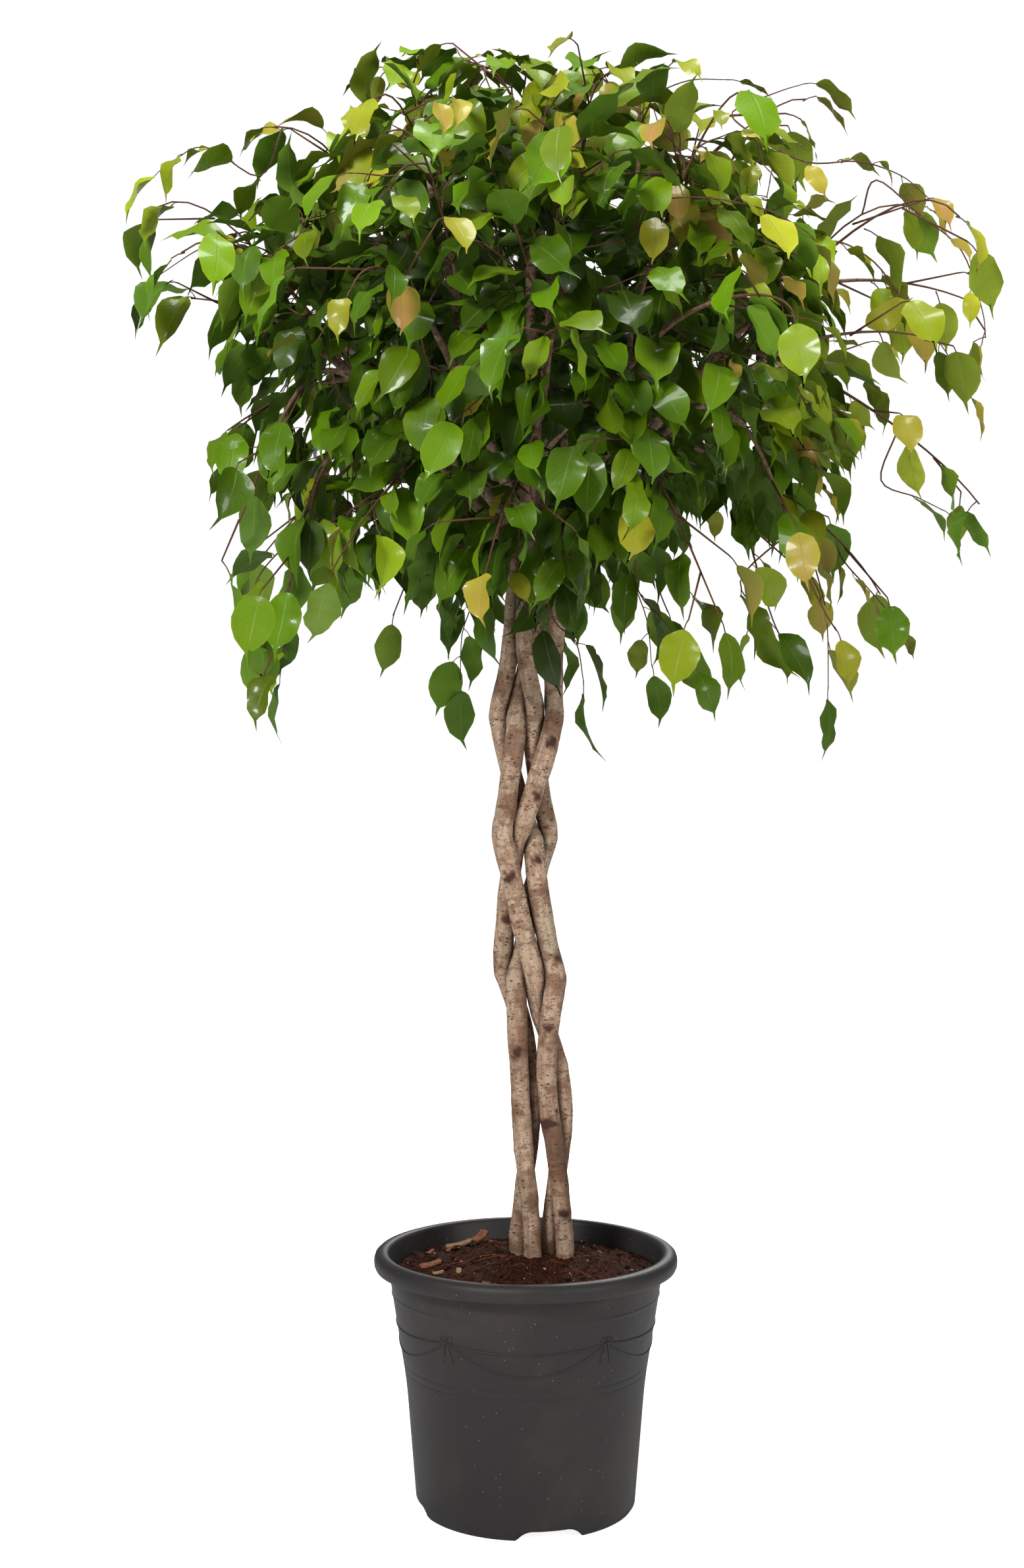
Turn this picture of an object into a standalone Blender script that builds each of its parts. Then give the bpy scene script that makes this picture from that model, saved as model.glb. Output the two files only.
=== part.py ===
"""Potted braided ficus: pot, potting mix, four plaited stems and leafy boughs.

Metres. Origin at the centre of the pot's base, Z up, front of the plant on -Y.
"""

import math
import random

import bmesh
import bpy
import numpy as np
from mathutils import Vector

MM = 0.001
GAP = 0.3 * MM

# Pot, (radius, height) in mm
POT_SEGMENTS = 32
POT_OUTSIDE = [(109.6, 0), (111.6, 3), (117.0, 68), (121.7, 125), (134.9, 206), (140.0, 239.5)]
POT_RIM = [(149.5, 238.5), (154.6, 243.5), (154.8, 250), (151, 255.8), (143.5, 257), (139.6, 253)]
POT_INSIDE = [(132.4, 206), (119.4, 125), (109.4, 13.5)]
POT_UNDERSIDE = [(0, 0), (36, 0), (38, 10.5), (102, 10.5), (104, 0)]
FLOOR_TOP = 13.5
NOTCH_WIDTH, NOTCH_HEIGHT = 50, 9.5
NOTCH_TURN = math.radians(-78)
DRAIN_RADIUS, DRAIN_PITCH = 6, 84

# Potting mix, (radius, height) in mm
SOIL_TOP = [(136.4, 236), (100, 241), (50, 251), (0, 254)]

# Stems, mm: (height, across, depth share), front is negative depth
DEPTH = 10.5
STEMS = {
    "left": [
        (935, -9, 0), (877, -13, 0.2), (833, -20, 0.2), (779, -26, 0.3), (753, -19, 1), (732, -11, 1),
        (712, -5, 1), (692, 0, 0.8), (672, 5, -0.3), (651, 8, -1), (618, 12, -0.6), (591, 17, -0.3),
        (523, 24, -0.5), (490, 20, -1), (456, 17, -1), (415, 18, -1), (382, 28, -0.6), (348, 34, -1),
        (321, 36, -0.9), (287, 39, -0.5), (260, 40, -0.5)],
    "back": [
        (935, 12, 1), (874, 8, 1), (854, 3, 1), (820, -5, 0.6), (793, -8, 0), (766, -12, -1),
        (739, -18, -1), (699, -17, -0.6), (658, -15, -1), (624, -13, -0.7), (591, -5, -0.6), (564, 1, -0.9),
        (537, 3, -0.5), (517, 7, 0.3), (493, 16, 1), (469, 30, 1), (449, 36, 0.5), (422, 40, 0.2),
        (389, 43, 0.2), (362, 42, 0.5), (345, 37, 1), (321, 30, 1), (294, 24, 1), (260, 23, 0.9)],
    "front": [
        (935, -2, -0.6), (901, -6, -0.8), (860, -6, -1), (833, 1, -0.7), (813, 5, -0.3), (793, 8, 0),
        (773, 9, 0.4), (753, 8, 1), (732, 11, 1), (715, 16, 0.7), (678, 15, 0.6), (658, 13, 1),
        (638, 9, 1), (618, 4, 1), (591, 1, 1), (564, -2, 1), (540, -5, 0.4), (523, -8, -0.6),
        (503, -9, -1), (456, -7, -0.4), (389, -4, -0.2), (358, -3, -0.5), (341, 0, -1), (314, 5, -1),
        (287, 7, -1), (260, 7, -1)],
    "right": [
        (935, 35, -0.2), (894, 30, 0), (820, 26, 0), (786, 24, -0.1), (766, 21, -0.6), (746, 16, -1),
        (722, 8, -1), (705, 3, -1), (688, -1, -0.6), (672, -5, 0.3), (655, -11, 1), (635, -17, 1),
        (611, -22, 0.6), (577, -22, 0.1), (547, -18, 0.3), (527, -15, 1), (510, -8, 1), (490, 1, 1),
        (456, 5, 1), (415, 7, 1), (368, 9, 0.8), (348, 5, 0.9), (331, 0, 1), (308, -6, 1), (260, -8, 0.7)],
}
STEM_FOOT = 205
STEM_STRAIGHT = 258
STEM_GIRTH = [(205, 8.2), (300, 8.0), (400, 9.1), (520, 9.6), (760, 9.5), (850, 8.4), (935, 7.6)]
STEM_SIDES = 6
STEM_SKIP = 3
STEM_CLEAR = 1.5

# Crown, mm. Per stem: the leader's end, its boughs' tips, then each limb as
# (height where it leaves the stem, end of the limb, tips of its three boughs)
CROWN = {
    "left": {
        "leader": ((-96, -24, 1330), [(-143, -30, 1455), (-250, -60, 1385)]),
        "limbs": [
            (968, (-225, -22, 1185), [(-423, -34, 1190), (-382, 26, 1330), (-335, -50, 1050)]),
            (1000, (-165, -118, 1120), [(-300, -160, 925), (-318, -205, 1220), (-255, -125, 830)]),
            (1030, (-172, 120, 1190), [(-305, 195, 1235), (-290, 130, 975), (-215, 245, 1380)]),
        ],
    },
    "back": {
        "leader": ((18, 84, 1365), [(62, 125, 1462), (-66, 150, 1440)]),
        "limbs": [
            (975, (-100, 190, 1175), [(-200, 345, 1140), (-150, 235, 925), (-95, 300, 1330)]),
            (1010, (10, 222, 1130), [(0, 412, 1090), (45, 285, 910), (20, 330, 1290)]),
            (1045, (112, 185, 1185), [(215, 345, 1150), (165, 245, 930), (190, 270, 1355)]),
        ],
    },
    "front": {
        "leader": ((6, -78, 1350), [(-40, -112, 1425), (78, -150, 1405)]),
        "limbs": [
            (975, (-84, -186, 1150), [(-150, -350, 1150), (-178, -225, 925), (-130, -300, 1330)]),
            (1005, (18, -214, 1110), [(35, -412, 1085), (-35, -290, 925), (30, -330, 1295)]),
            (1040, (122, -178, 1150), [(225, -345, 1130), (178, -215, 880), (190, -280, 1340)]),
        ],
    },
    "right": {
        "leader": ((112, -12, 1345), [(128, 8, 1450), (290, 20, 1440), (222, -80, 1370)]),
        "limbs": [
            (965, (255, 4, 1225), [(492, -12, 1195), (410, 44, 1335), (450, -60, 1010)]),
            (1000, (212, -112, 1130), [(440, -140, 1120), (395, -215, 1250), (298, -120, 880)]),
            (1035, (205, 118, 1165), [(385, 215, 1190), (380, 90, 935), (280, 160, 900)]),
        ],
    },
}
LIMB_GIRTH = (6.4, 3.2)
LIMB_SIDES = 5
LEADER_STUB_AT = (0.6, 0.82)
STUB_AT = (0.52, 0.78)
STUB_SIDES = 4
STUB_LENGTH = 24
STUB_GIRTH = 2.6
BOUGH_TIP_GIRTH = 1.3
BOUGH_SIDES = 4
BOUGH_RINGS = 5
FIRST_OWNER = 10

# Outline of the crown seen from the front: (height, left, right) on the plant's middle plane
OUTLINE = [
    (765, -268, 320), (887, -301, 409), (988, -312, 479), (1056, -340, 440), (1123, -385, 475),
    (1191, -433, 500), (1224, -435, 497), (1292, -405, 472), (1359, -398, 414), (1393, -368, 387),
    (1427, -262, 310), (1460, -195, 300), (1480, -180, 165), (1500, -150, 100),
]
VIEW_X, VIEW_HEIGHT, VIEW_FAR = -14, 732, 2000
DEPTH_SHARE = 0.96

# Leaves, mm
LEAF_LENGTH = (60, 80)
LEAF_WIDTH = 0.5
LEAF_THICK = 0.8
STALK_THICK = 1.7
STALK_WIDTH = 2.6
PETIOLE = 12
LEAF_OUTLINE = [(0, 0.11), (0.28, 0.5), (0.66, 0.34), (1, 0), (0.66, -0.34), (0.28, -0.5), (0, -0.11)]
KEEP_APART = 1.2


def unit(v):
    """The vector at length one."""
    return v / np.linalg.norm(v)


def hermite(a, b, leave, arrive, count):
    """Points of a cubic from a to b with the given end tangents."""
    t = np.linspace(0, 1, count)[:, None]
    return ((2 * t**3 - 3 * t**2 + 1) * a + (t**3 - 2 * t**2 + t) * leave
            + (3 * t**2 - 2 * t**3) * b + (t**3 - t**2) * arrive)


def girth_at(height):
    """Radius of a stem at this height."""
    return np.interp(height, [h for h, _ in STEM_GIRTH], [r for _, r in STEM_GIRTH])


def plait():
    """Centre-lines of the four stems up to the crown, pushed apart until they clear one another."""
    heights = np.arange(STEM_STRAIGHT, 936.0, 7)
    wanted = {}
    for name, knots in STEMS.items():
        z, x, d = np.array(knots[::-1], float).T
        wanted[name] = np.column_stack([np.interp(heights, z, x), DEPTH * np.interp(heights, z, d), heights])
    names = list(wanted)
    lines = dict(wanted)
    girth = girth_at(heights)
    rows = np.arange(len(heights))
    for turn in range(900):
        push = {name: np.zeros((len(heights), 3)) for name in names}
        for i, one in enumerate(names):
            for two in names[i + 1:]:
                apart = lines[one][:, None] - lines[two][None]
                far = np.linalg.norm(apart, axis=2)
                short = girth[:, None] + girth[None] + STEM_CLEAR - far
                worst = short.argmax(axis=1)
                push[one] += pushed(apart[rows, worst], far[rows, worst], short[rows, worst])
                worst = short.argmax(axis=0)
                push[two] -= pushed(apart[worst, rows], far[worst, rows], short[worst, rows])
        for name in names:
            line = lines[name] + push[name]
            if turn < 860:
                line[1:-1] += 0.1 * (line[:-2] + line[2:] - 2 * line[1:-1]) * (1, 1, 0)
                line += 0.004 * (wanted[name] - line)
            lines[name] = line
    return lines


def pushed(apart, far, short):
    """Sideways steps that open the gaps by which points are too close."""
    return apart / far[:, None] * short.clip(0)[:, None] * 0.3 * (0.8, 1, 0)


def tube(line, radii, sides, first=None):
    """Closed tube along a line, its first cap square to the way given: its points and faces."""
    line = np.asarray(line, float)
    along = np.gradient(line, axis=0)
    along /= np.linalg.norm(along, axis=1)[:, None]
    along[0] = unit(line[1] - line[0]) if first is None else first
    along[-1] = unit(line[-1] - line[-2])
    side = unit(np.cross(along[0], (0.31, 0.95, 0.12)))
    points = []
    for here, way, radius in zip(line, along, radii):
        side = unit(side - way * side.dot(way))
        other = np.cross(way, side)
        for k in range(sides):
            turn = 2 * math.pi * k / sides
            points.append(here + radius * (math.cos(turn) * side + math.sin(turn) * other))
    faces = [tuple(range(sides))[::-1]]
    for ring in range(len(line) - 1):
        start = ring * sides
        for k in range(sides):
            after = (k + 1) % sides
            faces.append((start + k, start + after, start + sides + after, start + sides + k))
    last = (len(line) - 1) * sides
    faces.append(tuple(range(last, last + sides)))
    return points, faces


def blade(stalk, up, way, length, width):
    """A leaf as a thin closed blade on its stalk, folded along the midrib and bent down at the tip."""
    across = unit(np.cross(up, way))
    up = np.cross(way, across)
    lifted = [(stalk[0], up * STALK_THICK)]
    for before, here in zip(stalk, stalk[1:-1]):
        flank = unit(np.cross(up, here - before)) * STALK_WIDTH / 2
        lifted += [(here + flank, up * STALK_THICK), (here - flank, up * STALK_THICK)]
    base = stalk[-1]
    rim = []
    for u, v in LEAF_OUTLINE:
        rim.append(base + way * length * u + across * width * v - up * 0.16 * length * u * u)
    middle = base + way * length * 0.42 - up * (0.1 * width + 0.03 * length)
    lifted += [(p, up * LEAF_THICK) for p in [rim[0], rim[-1]] + rim[1:-1] + [middle]]
    count = len(lifted)
    pairs = [(0, 0)] + [(k, k + 1) for k in range(1, 2 * len(stalk) - 2, 2)]
    faces = []
    for (a, b), (c, d) in zip(pairs, pairs[1:]):
        faces.append((b, d, c))
        if a != b:
            faces.append((b, c, a))
    fan = [pairs[-1][0]] + list(range(count - len(rim) + 1, count - 1)) + [pairs[-1][1]]
    faces += [(b, a, count - 1) for a, b in zip(fan, fan[1:] + fan[:1])]
    points = [p + lift / 2 for p, lift in lifted] + [p - lift / 2 for p, lift in lifted]
    edge = [a for a, _ in pairs] + fan[1:-1] + [b for _, b in pairs[:0:-1]]
    under = [(c + count, b + count, a + count) for a, b, c in faces]
    sides = [(a, b, b + count, a + count) for a, b in zip(edge, edge[1:] + edge[:1])]
    return points, faces + under + sides


class Room:
    """Where wood and leaves already are, as balls with an owner each."""

    def __init__(self):
        self.centres = np.zeros((0, 3))
        self.radii = np.zeros(0)
        self.owners = np.zeros(0, int)
        self.leafy = np.zeros(0, bool)

    def add(self, centres, radii, owner, leafy):
        """Fills balls for one owner."""
        self.centres = np.vstack([self.centres, centres])
        self.radii = np.concatenate([self.radii, radii])
        self.owners = np.concatenate([self.owners, np.full(len(centres), owner)])
        self.leafy = np.concatenate([self.leafy, np.full(len(centres), leafy)])

    def spare(self, centres, radii, owner, leafy):
        """Least gap between these balls and the others; among one owner's own only leaves count, at half size."""
        far = np.linalg.norm(self.centres[None] - centres[:, None], axis=2)
        reach = self.radii[None] + radii[:, None]
        own = self.owners == owner
        reach = np.where(own[None], reach * 0.5, reach)
        gap = far - reach
        skip = own & ~(self.leafy & leafy)
        gap = np.where(skip[None], 1e3, gap)
        return gap.min() if gap.size else 1e3


def limb_line(start, end, rise):
    """A limb's centre-line: it leaves steeply, then leans out."""
    reach = np.linalg.norm(end - start)
    out = unit((end - start) * (1, 1, 0.15))
    leave = unit(np.array([0, 0, 1]) + 0.75 * out) * reach * 0.9
    arrive = unit(out + np.array([0, 0, rise])) * reach * 0.9
    return hermite(start, end, leave, arrive, 7)


def seat_on(line, share, target):
    """Start and end of a short side stub on a limb, leaning towards its bough's tip."""
    here, along = point_on(line, share)
    aim = unit(target - here)
    aside = aim - along * aim.dot(along)
    way = unit(unit(aside) + 0.75 * along)
    return here, here + way * STUB_LENGTH, way


def woody_frames(lines):
    """Per stem: its tubes as (line, radii, sides), and the seats of its boughs as (point, way, girth, tip)."""
    stems = {}
    for name, crown in CROWN.items():
        leader_end, leader_tips = crown["leader"]
        trunk = lines[name]
        top = trunk[-1]
        end = np.array(leader_end, float)
        leader = hermite(top, end, unit(top - trunk[-6]) * 190, unit(end - top + (0, 0, 120)) * 300, 9)
        whole = np.vstack([trunk[:-1:STEM_SKIP], leader])
        radii = np.concatenate([girth_at(whole[:-9, 2]), np.linspace(girth_at(935), LIMB_GIRTH[1], 9)])
        foot = [(trunk[0][0], trunk[0][1], STEM_FOOT)]
        tubes = [(np.vstack([foot, whole]), np.concatenate([[girth_at(STEM_FOOT)], radii]), STEM_SIDES)]
        tips = [np.array(tip, float) for tip in leader_tips]
        seats = [(whole[-1], unit(whole[-1] - whole[-2]), LIMB_GIRTH[1], tips[0])]
        add_stubs(tubes, seats, leader, LEADER_STUB_AT, tips[1:])
        for height, limb_end, limb_tips in crown["limbs"]:
            start = np.array([np.interp(height, whole[:, 2], whole[:, k]) for k in range(3)])
            line = limb_line(start, np.array(limb_end, float), 0.55)
            tips = [np.array(tip, float) for tip in limb_tips]
            tubes.append((line, np.linspace(*LIMB_GIRTH, len(line)), LIMB_SIDES))
            seats.append((line[-1], unit(line[-1] - line[-2]), LIMB_GIRTH[1], tips[0]))
            add_stubs(tubes, seats, line, STUB_AT, tips[1:])
        stems[name] = (tubes, seats)
    return stems


def add_stubs(tubes, seats, line, shares, tips):
    """Adds a limb's short side stubs and the seats on their ends."""
    for share, tip in zip(shares, tips):
        here, end, way = seat_on(line, share, tip)
        tubes.append(([here, end], (STUB_GIRTH, STUB_GIRTH), STUB_SIDES))
        seats.append((end, way, STUB_GIRTH, tip))


def balls(line, radii, step=7):
    """Centres and radii of balls that fill a tube."""
    line = np.asarray(line, float)
    run = np.concatenate([[0], np.cumsum(np.linalg.norm(np.diff(line, axis=0), axis=1))])
    at = np.arange(0, run[-1] + step, step).clip(max=run[-1])
    centres = np.column_stack([np.interp(at, run, line[:, k]) for k in range(3)])
    return centres, np.interp(at, run, radii)


def leaf_balls(foot, petiole, way, length, width):
    """Balls that hold one leaf."""
    base = foot + petiole
    centres = np.array([foot + petiole * 0.6] + [base + way * length * u for u in (0.1, 0.32, 0.55, 0.78, 0.97)])
    drop = np.array([0, 0, 0, -0.02, -0.07, -0.12])[:, None] * length * np.array([0, 0, 1.0])
    return centres + drop, np.array([0.06, 0.3, 0.5, 0.46, 0.3, 0.1]) * width


def stalk_folds(stalk, way):
    """Whether a flat stalk would fold back under its blade."""
    return any(unit(here - before).dot(way) < 0.3 for before, here in zip(stalk, stalk[1:]))


def beyond_outline(points, reach=0.0):
    """How far points lie outside the crown's outline from the front, or outside its depth."""
    low, left, right = np.array(OUTLINE, float).T
    near = VIEW_FAR / (VIEW_FAR + points[:, 1])
    across = VIEW_X + (points[:, 0] - VIEW_X) * near
    height = VIEW_HEIGHT + (points[:, 2] - VIEW_HEIGHT) * near
    half = DEPTH_SHARE * (np.interp(points[:, 2], low, right) - np.interp(points[:, 2], low, left)) / 2
    over = [
        height + reach - low[-1], low[0] - points[:, 2] + reach,
        across + reach - np.interp(height, low, right), np.interp(height, low, left) - across + reach,
        np.abs(points[:, 1]) + reach - half,
    ]
    return float(np.max(over))


def grow_leaf(room, owner, dice, foot, along, side, hang, twig=()):
    """A leaf at a point of the wood, tried at several turns until it is clear; None if it never is."""
    for attempt in range(16):
        spin = dice.uniform(-0.5, 0.5) * (1 + attempt * 0.35)
        aside = unit(side * math.cos(spin) + np.cross(along, side) * math.sin(spin))
        petiole = unit(aside + 0.6 * along - np.array([0, 0, 0.45 * hang])) * (PETIOLE + 2.5)
        way = unit(0.6 * aside + 0.45 * along + np.array([0, 0, -hang * dice.uniform(0.9, 1.5)]))
        length = dice.uniform(*LEAF_LENGTH) * (1 if attempt < 8 else 0.88)
        width = length * LEAF_WIDTH * dice.uniform(0.92, 1.08)
        up = unit(np.array([0, 0, 0.8]) + 0.7 * aside + np.array([dice.uniform(-0.5, 0.5) for _ in range(3)]))
        if abs(up.dot(way)) > 0.85 or stalk_folds(list(twig) + [foot, foot + petiole], way):
            continue
        centres, radii = leaf_balls(foot, petiole, way, length, width)
        if beyond_outline(centres, np.minimum(radii, 4)) > 0:
            continue
        if room.spare(centres, radii, owner, True) > KEEP_APART:
            room.add(centres, radii, owner, True)
            return blade(list(twig) + [foot, foot + petiole], up, way, length, width)
    return None


def bough_line(room, owner, dice, start, way, tip):
    """The bough's centre-line: the clearest of several arching curves to its tip."""
    reach = np.linalg.norm(tip - start)
    out = unit((tip - start) * (1, 1, 0) + (1e-6, 0, 0))
    droop = min(1.2, max(0.25, (1450 - tip[2]) / 260))
    best = None
    for attempt in range(60):
        sway = np.array([dice.uniform(-1, 1) for _ in range(3)]) * (0.2 + 0.01 * attempt)
        arrive = unit(out * 0.8 - np.array([0, 0, droop]) + sway) * reach * dice.uniform(0.7, 1.1)
        leave = way * reach * dice.uniform(0.5, 1.15)
        line = hermite(start, tip, leave, arrive, BOUGH_RINGS)
        centres, radii = balls(line[1:], np.full(len(line) - 1, 3.0))
        spare = room.spare(centres, radii, owner, False)
        worth = min(spare, 12) - max(0, beyond_outline(line, 6))
        if best is None or worth > best[0]:
            best = (worth, spare, line)
        if worth >= 12:
            break
    return best[1:]


def grow_axis(room, owner, seat):
    """The axis of one bough as (line, radii)."""
    point, way, girth, tip = seat
    start = point + way * GAP / MM
    spare, line = bough_line(room, owner, random.Random(4100 + owner), start, way, tip)
    if spare < KEEP_APART:
        print("bough", owner - FIRST_OWNER + 1, "passes too close:", round(spare, 2))
    radii = np.linspace(girth, BOUGH_TIP_GIRTH, len(line))
    room.add(*balls(line, radii), owner, False)
    return line, radii, way


def grow_bough(room, owner, line, radii, way):
    """Closed pieces of one bough: its axis, the leaves on it, and side twigs that end in a leaf each."""
    dice = random.Random(700 + owner)
    pieces = [tube(line, radii, BOUGH_SIDES, way)]
    reach = np.linalg.norm(np.diff(line, axis=0), axis=1).sum()
    for k, share in enumerate((0.4, 0.68) if reach < 250 else (0.3, 0.54, 0.78)):
        here, along = point_on(line, share)
        flank = unit(np.cross(along, (0, 0, 1)) * (1 if (k + owner) % 2 else -1))
        for _ in range(24):
            aim = unit(0.8 * along + flank * dice.uniform(0.5, 1.0) + np.array([0, 0, dice.uniform(-0.3, 0.5)]))
            size = dice.uniform(45, 95)
            end = here + aim * size
            centres, sizes = balls([here + aim * 8, end], (1.6, 1.3))
            if room.spare(centres, sizes, owner, False) <= KEEP_APART:
                continue
            leaf = grow_leaf(room, owner, dice, end, aim, unit(flank + 0.8 * aim), 1.0, [here])
            if leaf:
                room.add(centres, sizes, owner, False)
                pieces.append(leaf)
                break
    outward = unit(line[-1] - line[-2])
    aside = unit(outward + 0.3 * np.cross(outward, (0.2, 0.3, 0.9)))
    feet = [(line[-1] - outward * 4, outward, aside, 1.0)]
    for share in (0.5,) if reach < 250 else (0.42, 0.66):
        here, along = point_on(line, share)
        feet.append((here, along, unit(np.cross(along, (0, 0, 1))) * dice.choice((-1, 1)), 0.9))
    for foot, along, side, hang in feet:
        leaf = grow_leaf(room, owner, dice, foot, along, side, hang)
        if leaf:
            pieces.append(leaf)
    return pieces


def point_on(line, share):
    """The point at this share of a line's rings, and the way it runs there."""
    at = share * (len(line) - 1)
    k = int(at)
    return line[k] + (line[k + 1] - line[k]) * (at - k), unit(line[k + 1] - line[k])


def mesh_object(name, points, faces, collection):
    """An object in this collection, from points in mm."""
    mesh = bpy.data.meshes.new(name)
    mesh.from_pydata([Vector(p) * MM for p in points], [], faces)
    obj = bpy.data.objects.new(name, mesh)
    collection.objects.link(obj)
    return obj


def fused(name, pieces, solver="MANIFOLD"):
    """One object from closed pieces that overlap, by one Boolean union."""
    scene = bpy.context.scene.collection
    obj = mesh_object(name, *pieces[0], scene)
    if len(pieces) == 1:
        return obj
    others = bpy.data.collections.new(name + "_pieces")
    scene.children.link(others)
    for k, piece in enumerate(pieces[1:]):
        mesh_object(f"{name}_piece_{k}", *piece, others)
    union = obj.modifiers.new("union", "BOOLEAN")
    union.operation = "UNION"
    union.operand_type = "COLLECTION"
    union.collection = others
    union.solver = solver
    applied(obj)
    for helper in list(others.objects):
        bpy.data.objects.remove(helper)
    bpy.data.collections.remove(others)
    return obj


def applied(obj):
    """Applies the object's modifiers."""
    bpy.context.view_layer.objects.active = obj
    for modifier in list(obj.modifiers):
        bpy.ops.object.modifier_apply(modifier=modifier.name)


def lathe(name, profile, segments):
    """A solid of revolution from (radius, height) in mm; the profile runs round the section."""
    bm = bmesh.new()
    verts = [bm.verts.new(Vector((r, 0, z)) * MM) for r, z in profile]
    edges = [bm.edges.new((a, b)) for a, b in zip(verts, verts[1:])]
    if profile[0][0] or profile[-1][0]:
        edges.append(bm.edges.new((verts[-1], verts[0])))
    bmesh.ops.spin(
        bm, geom=verts + edges, cent=(0, 0, 0), axis=(0, 0, 1), angle=2 * math.pi,
        steps=segments, use_merge=True, use_duplicate=False)
    bmesh.ops.remove_doubles(bm, verts=bm.verts, dist=1e-6)
    bmesh.ops.recalc_face_normals(bm, faces=bm.faces)
    mesh = bpy.data.meshes.new(name)
    bm.to_mesh(mesh)
    bm.free()
    obj = bpy.data.objects.new(name, mesh)
    bpy.context.scene.collection.objects.link(obj)
    return obj


def cut(obj, shapes):
    """Takes closed shapes, given as (points, faces) in mm, out of the object."""
    for k, shape in enumerate(shapes):
        cutter = mesh_object(f"{obj.name}_cutter_{k}", *shape, bpy.context.scene.collection)
        difference = obj.modifiers.new("cut", "BOOLEAN")
        difference.operation = "DIFFERENCE"
        difference.object = cutter
        difference.solver = "EXACT"
        applied(obj)
        bpy.data.objects.remove(cutter)


def block(centre, sizes, turn):
    """A box, turned about Z round the origin."""
    points = []
    for x in (-0.5, 0.5):
        for y in (-0.5, 0.5):
            for z in (-0.5, 0.5):
                px, py = centre[0] + x * sizes[0], centre[1] + y * sizes[1]
                c, s = math.cos(turn), math.sin(turn)
                points.append(np.array([px * c - py * s, px * s + py * c, centre[2] + z * sizes[2]]))
    faces = [(0, 1, 3, 2), (4, 6, 7, 5), (0, 4, 5, 1), (2, 3, 7, 6), (0, 2, 6, 4), (1, 5, 7, 3)]
    return points, faces


def make_pot():
    """The pot: rolled rim, flared wall, foot ring with notches, floor with drain holes."""
    profile = POT_UNDERSIDE + POT_OUTSIDE + POT_RIM + POT_INSIDE + [(0, FLOOR_TOP)]
    pot = lathe("pot", profile, POT_SEGMENTS)
    shapes = []
    for quarter in range(4):
        turn = NOTCH_TURN + quarter * math.pi / 2
        shapes.append(block((112, 0, NOTCH_HEIGHT / 2 - 5), (30, NOTCH_WIDTH, NOTCH_HEIGHT + 10), turn))
    for k in range(8):
        turn = NOTCH_TURN + (k + 0.5) * math.pi / 4
        here = np.array([DRAIN_PITCH * math.cos(turn), DRAIN_PITCH * math.sin(turn), 0])
        shapes.append(tube([here + (0, 0, 6), here + (0, 0, 18)], (DRAIN_RADIUS, DRAIN_RADIUS), 8))
    cut(pot, shapes)


def make_soil(lines):
    """The potting mix, with a plain hole for each stem's foot."""
    gap = GAP / MM
    inside = [(r - gap, z) for r, z in POT_INSIDE]
    inside[-1] = (inside[-1][0], FLOOR_TOP + gap)
    profile = [(0, FLOOR_TOP + gap)] + inside[::-1] + SOIL_TOP
    soil = lathe("soil", profile, POT_SEGMENTS)
    holes = []
    for line in lines.values():
        x, y = line[0][0], line[0][1]
        girth = girth_at(STEM_FOOT) + 0.8
        holes.append(tube([(x, y, STEM_FOOT - 1), (x, y, 275)], (girth, girth), 10))
    cut(soil, holes)


def main():
    """Clears the scene and builds every solid."""
    bpy.ops.wm.read_factory_settings(use_empty=True)
    lines = plait()
    make_pot()
    make_soil(lines)
    stems = woody_frames(lines)
    room = Room()
    for owner, (name, (tubes, _)) in enumerate(stems.items()):
        for line, radii, _ in tubes:
            room.add(*balls(line, radii), owner, False)
        fused("stem_" + name, [tube(*t) for t in tubes])
    seats = [seat for _, some in stems.values() for seat in some]
    axes = [grow_axis(room, FIRST_OWNER + k, seat) for k, seat in enumerate(seats)]
    leaves = 0
    for k, axis in enumerate(axes):
        pieces = grow_bough(room, FIRST_OWNER + k, *axis)
        leaves += len(pieces) - 1
        fused(f"bough_{k + 1:02d}", pieces)
    print("boughs", len(axes), "leaves", leaves)


main()
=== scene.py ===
# Looks of the potted plaited fig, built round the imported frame. Lengths in the growing code are mm.
import math
import random

import bmesh
import bpy
import numpy as np
from mathutils import Matrix, Vector, noise


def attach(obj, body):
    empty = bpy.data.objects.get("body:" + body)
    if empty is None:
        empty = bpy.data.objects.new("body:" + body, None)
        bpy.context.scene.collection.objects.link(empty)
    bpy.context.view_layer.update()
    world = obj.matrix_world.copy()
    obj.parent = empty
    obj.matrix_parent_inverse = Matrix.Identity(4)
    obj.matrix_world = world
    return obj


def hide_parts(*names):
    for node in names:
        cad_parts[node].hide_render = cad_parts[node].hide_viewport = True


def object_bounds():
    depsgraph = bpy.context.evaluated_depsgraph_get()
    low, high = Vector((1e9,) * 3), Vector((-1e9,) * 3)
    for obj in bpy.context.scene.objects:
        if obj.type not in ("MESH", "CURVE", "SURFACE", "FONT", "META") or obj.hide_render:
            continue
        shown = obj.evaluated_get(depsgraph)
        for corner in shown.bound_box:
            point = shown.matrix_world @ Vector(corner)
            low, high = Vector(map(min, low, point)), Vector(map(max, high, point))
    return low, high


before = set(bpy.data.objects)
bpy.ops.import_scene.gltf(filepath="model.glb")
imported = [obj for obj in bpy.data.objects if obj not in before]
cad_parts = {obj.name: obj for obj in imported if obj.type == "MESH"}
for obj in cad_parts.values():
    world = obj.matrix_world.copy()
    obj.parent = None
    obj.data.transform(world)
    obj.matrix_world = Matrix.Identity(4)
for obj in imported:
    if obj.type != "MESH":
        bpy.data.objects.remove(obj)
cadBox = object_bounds()
mm = 0.001
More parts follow.
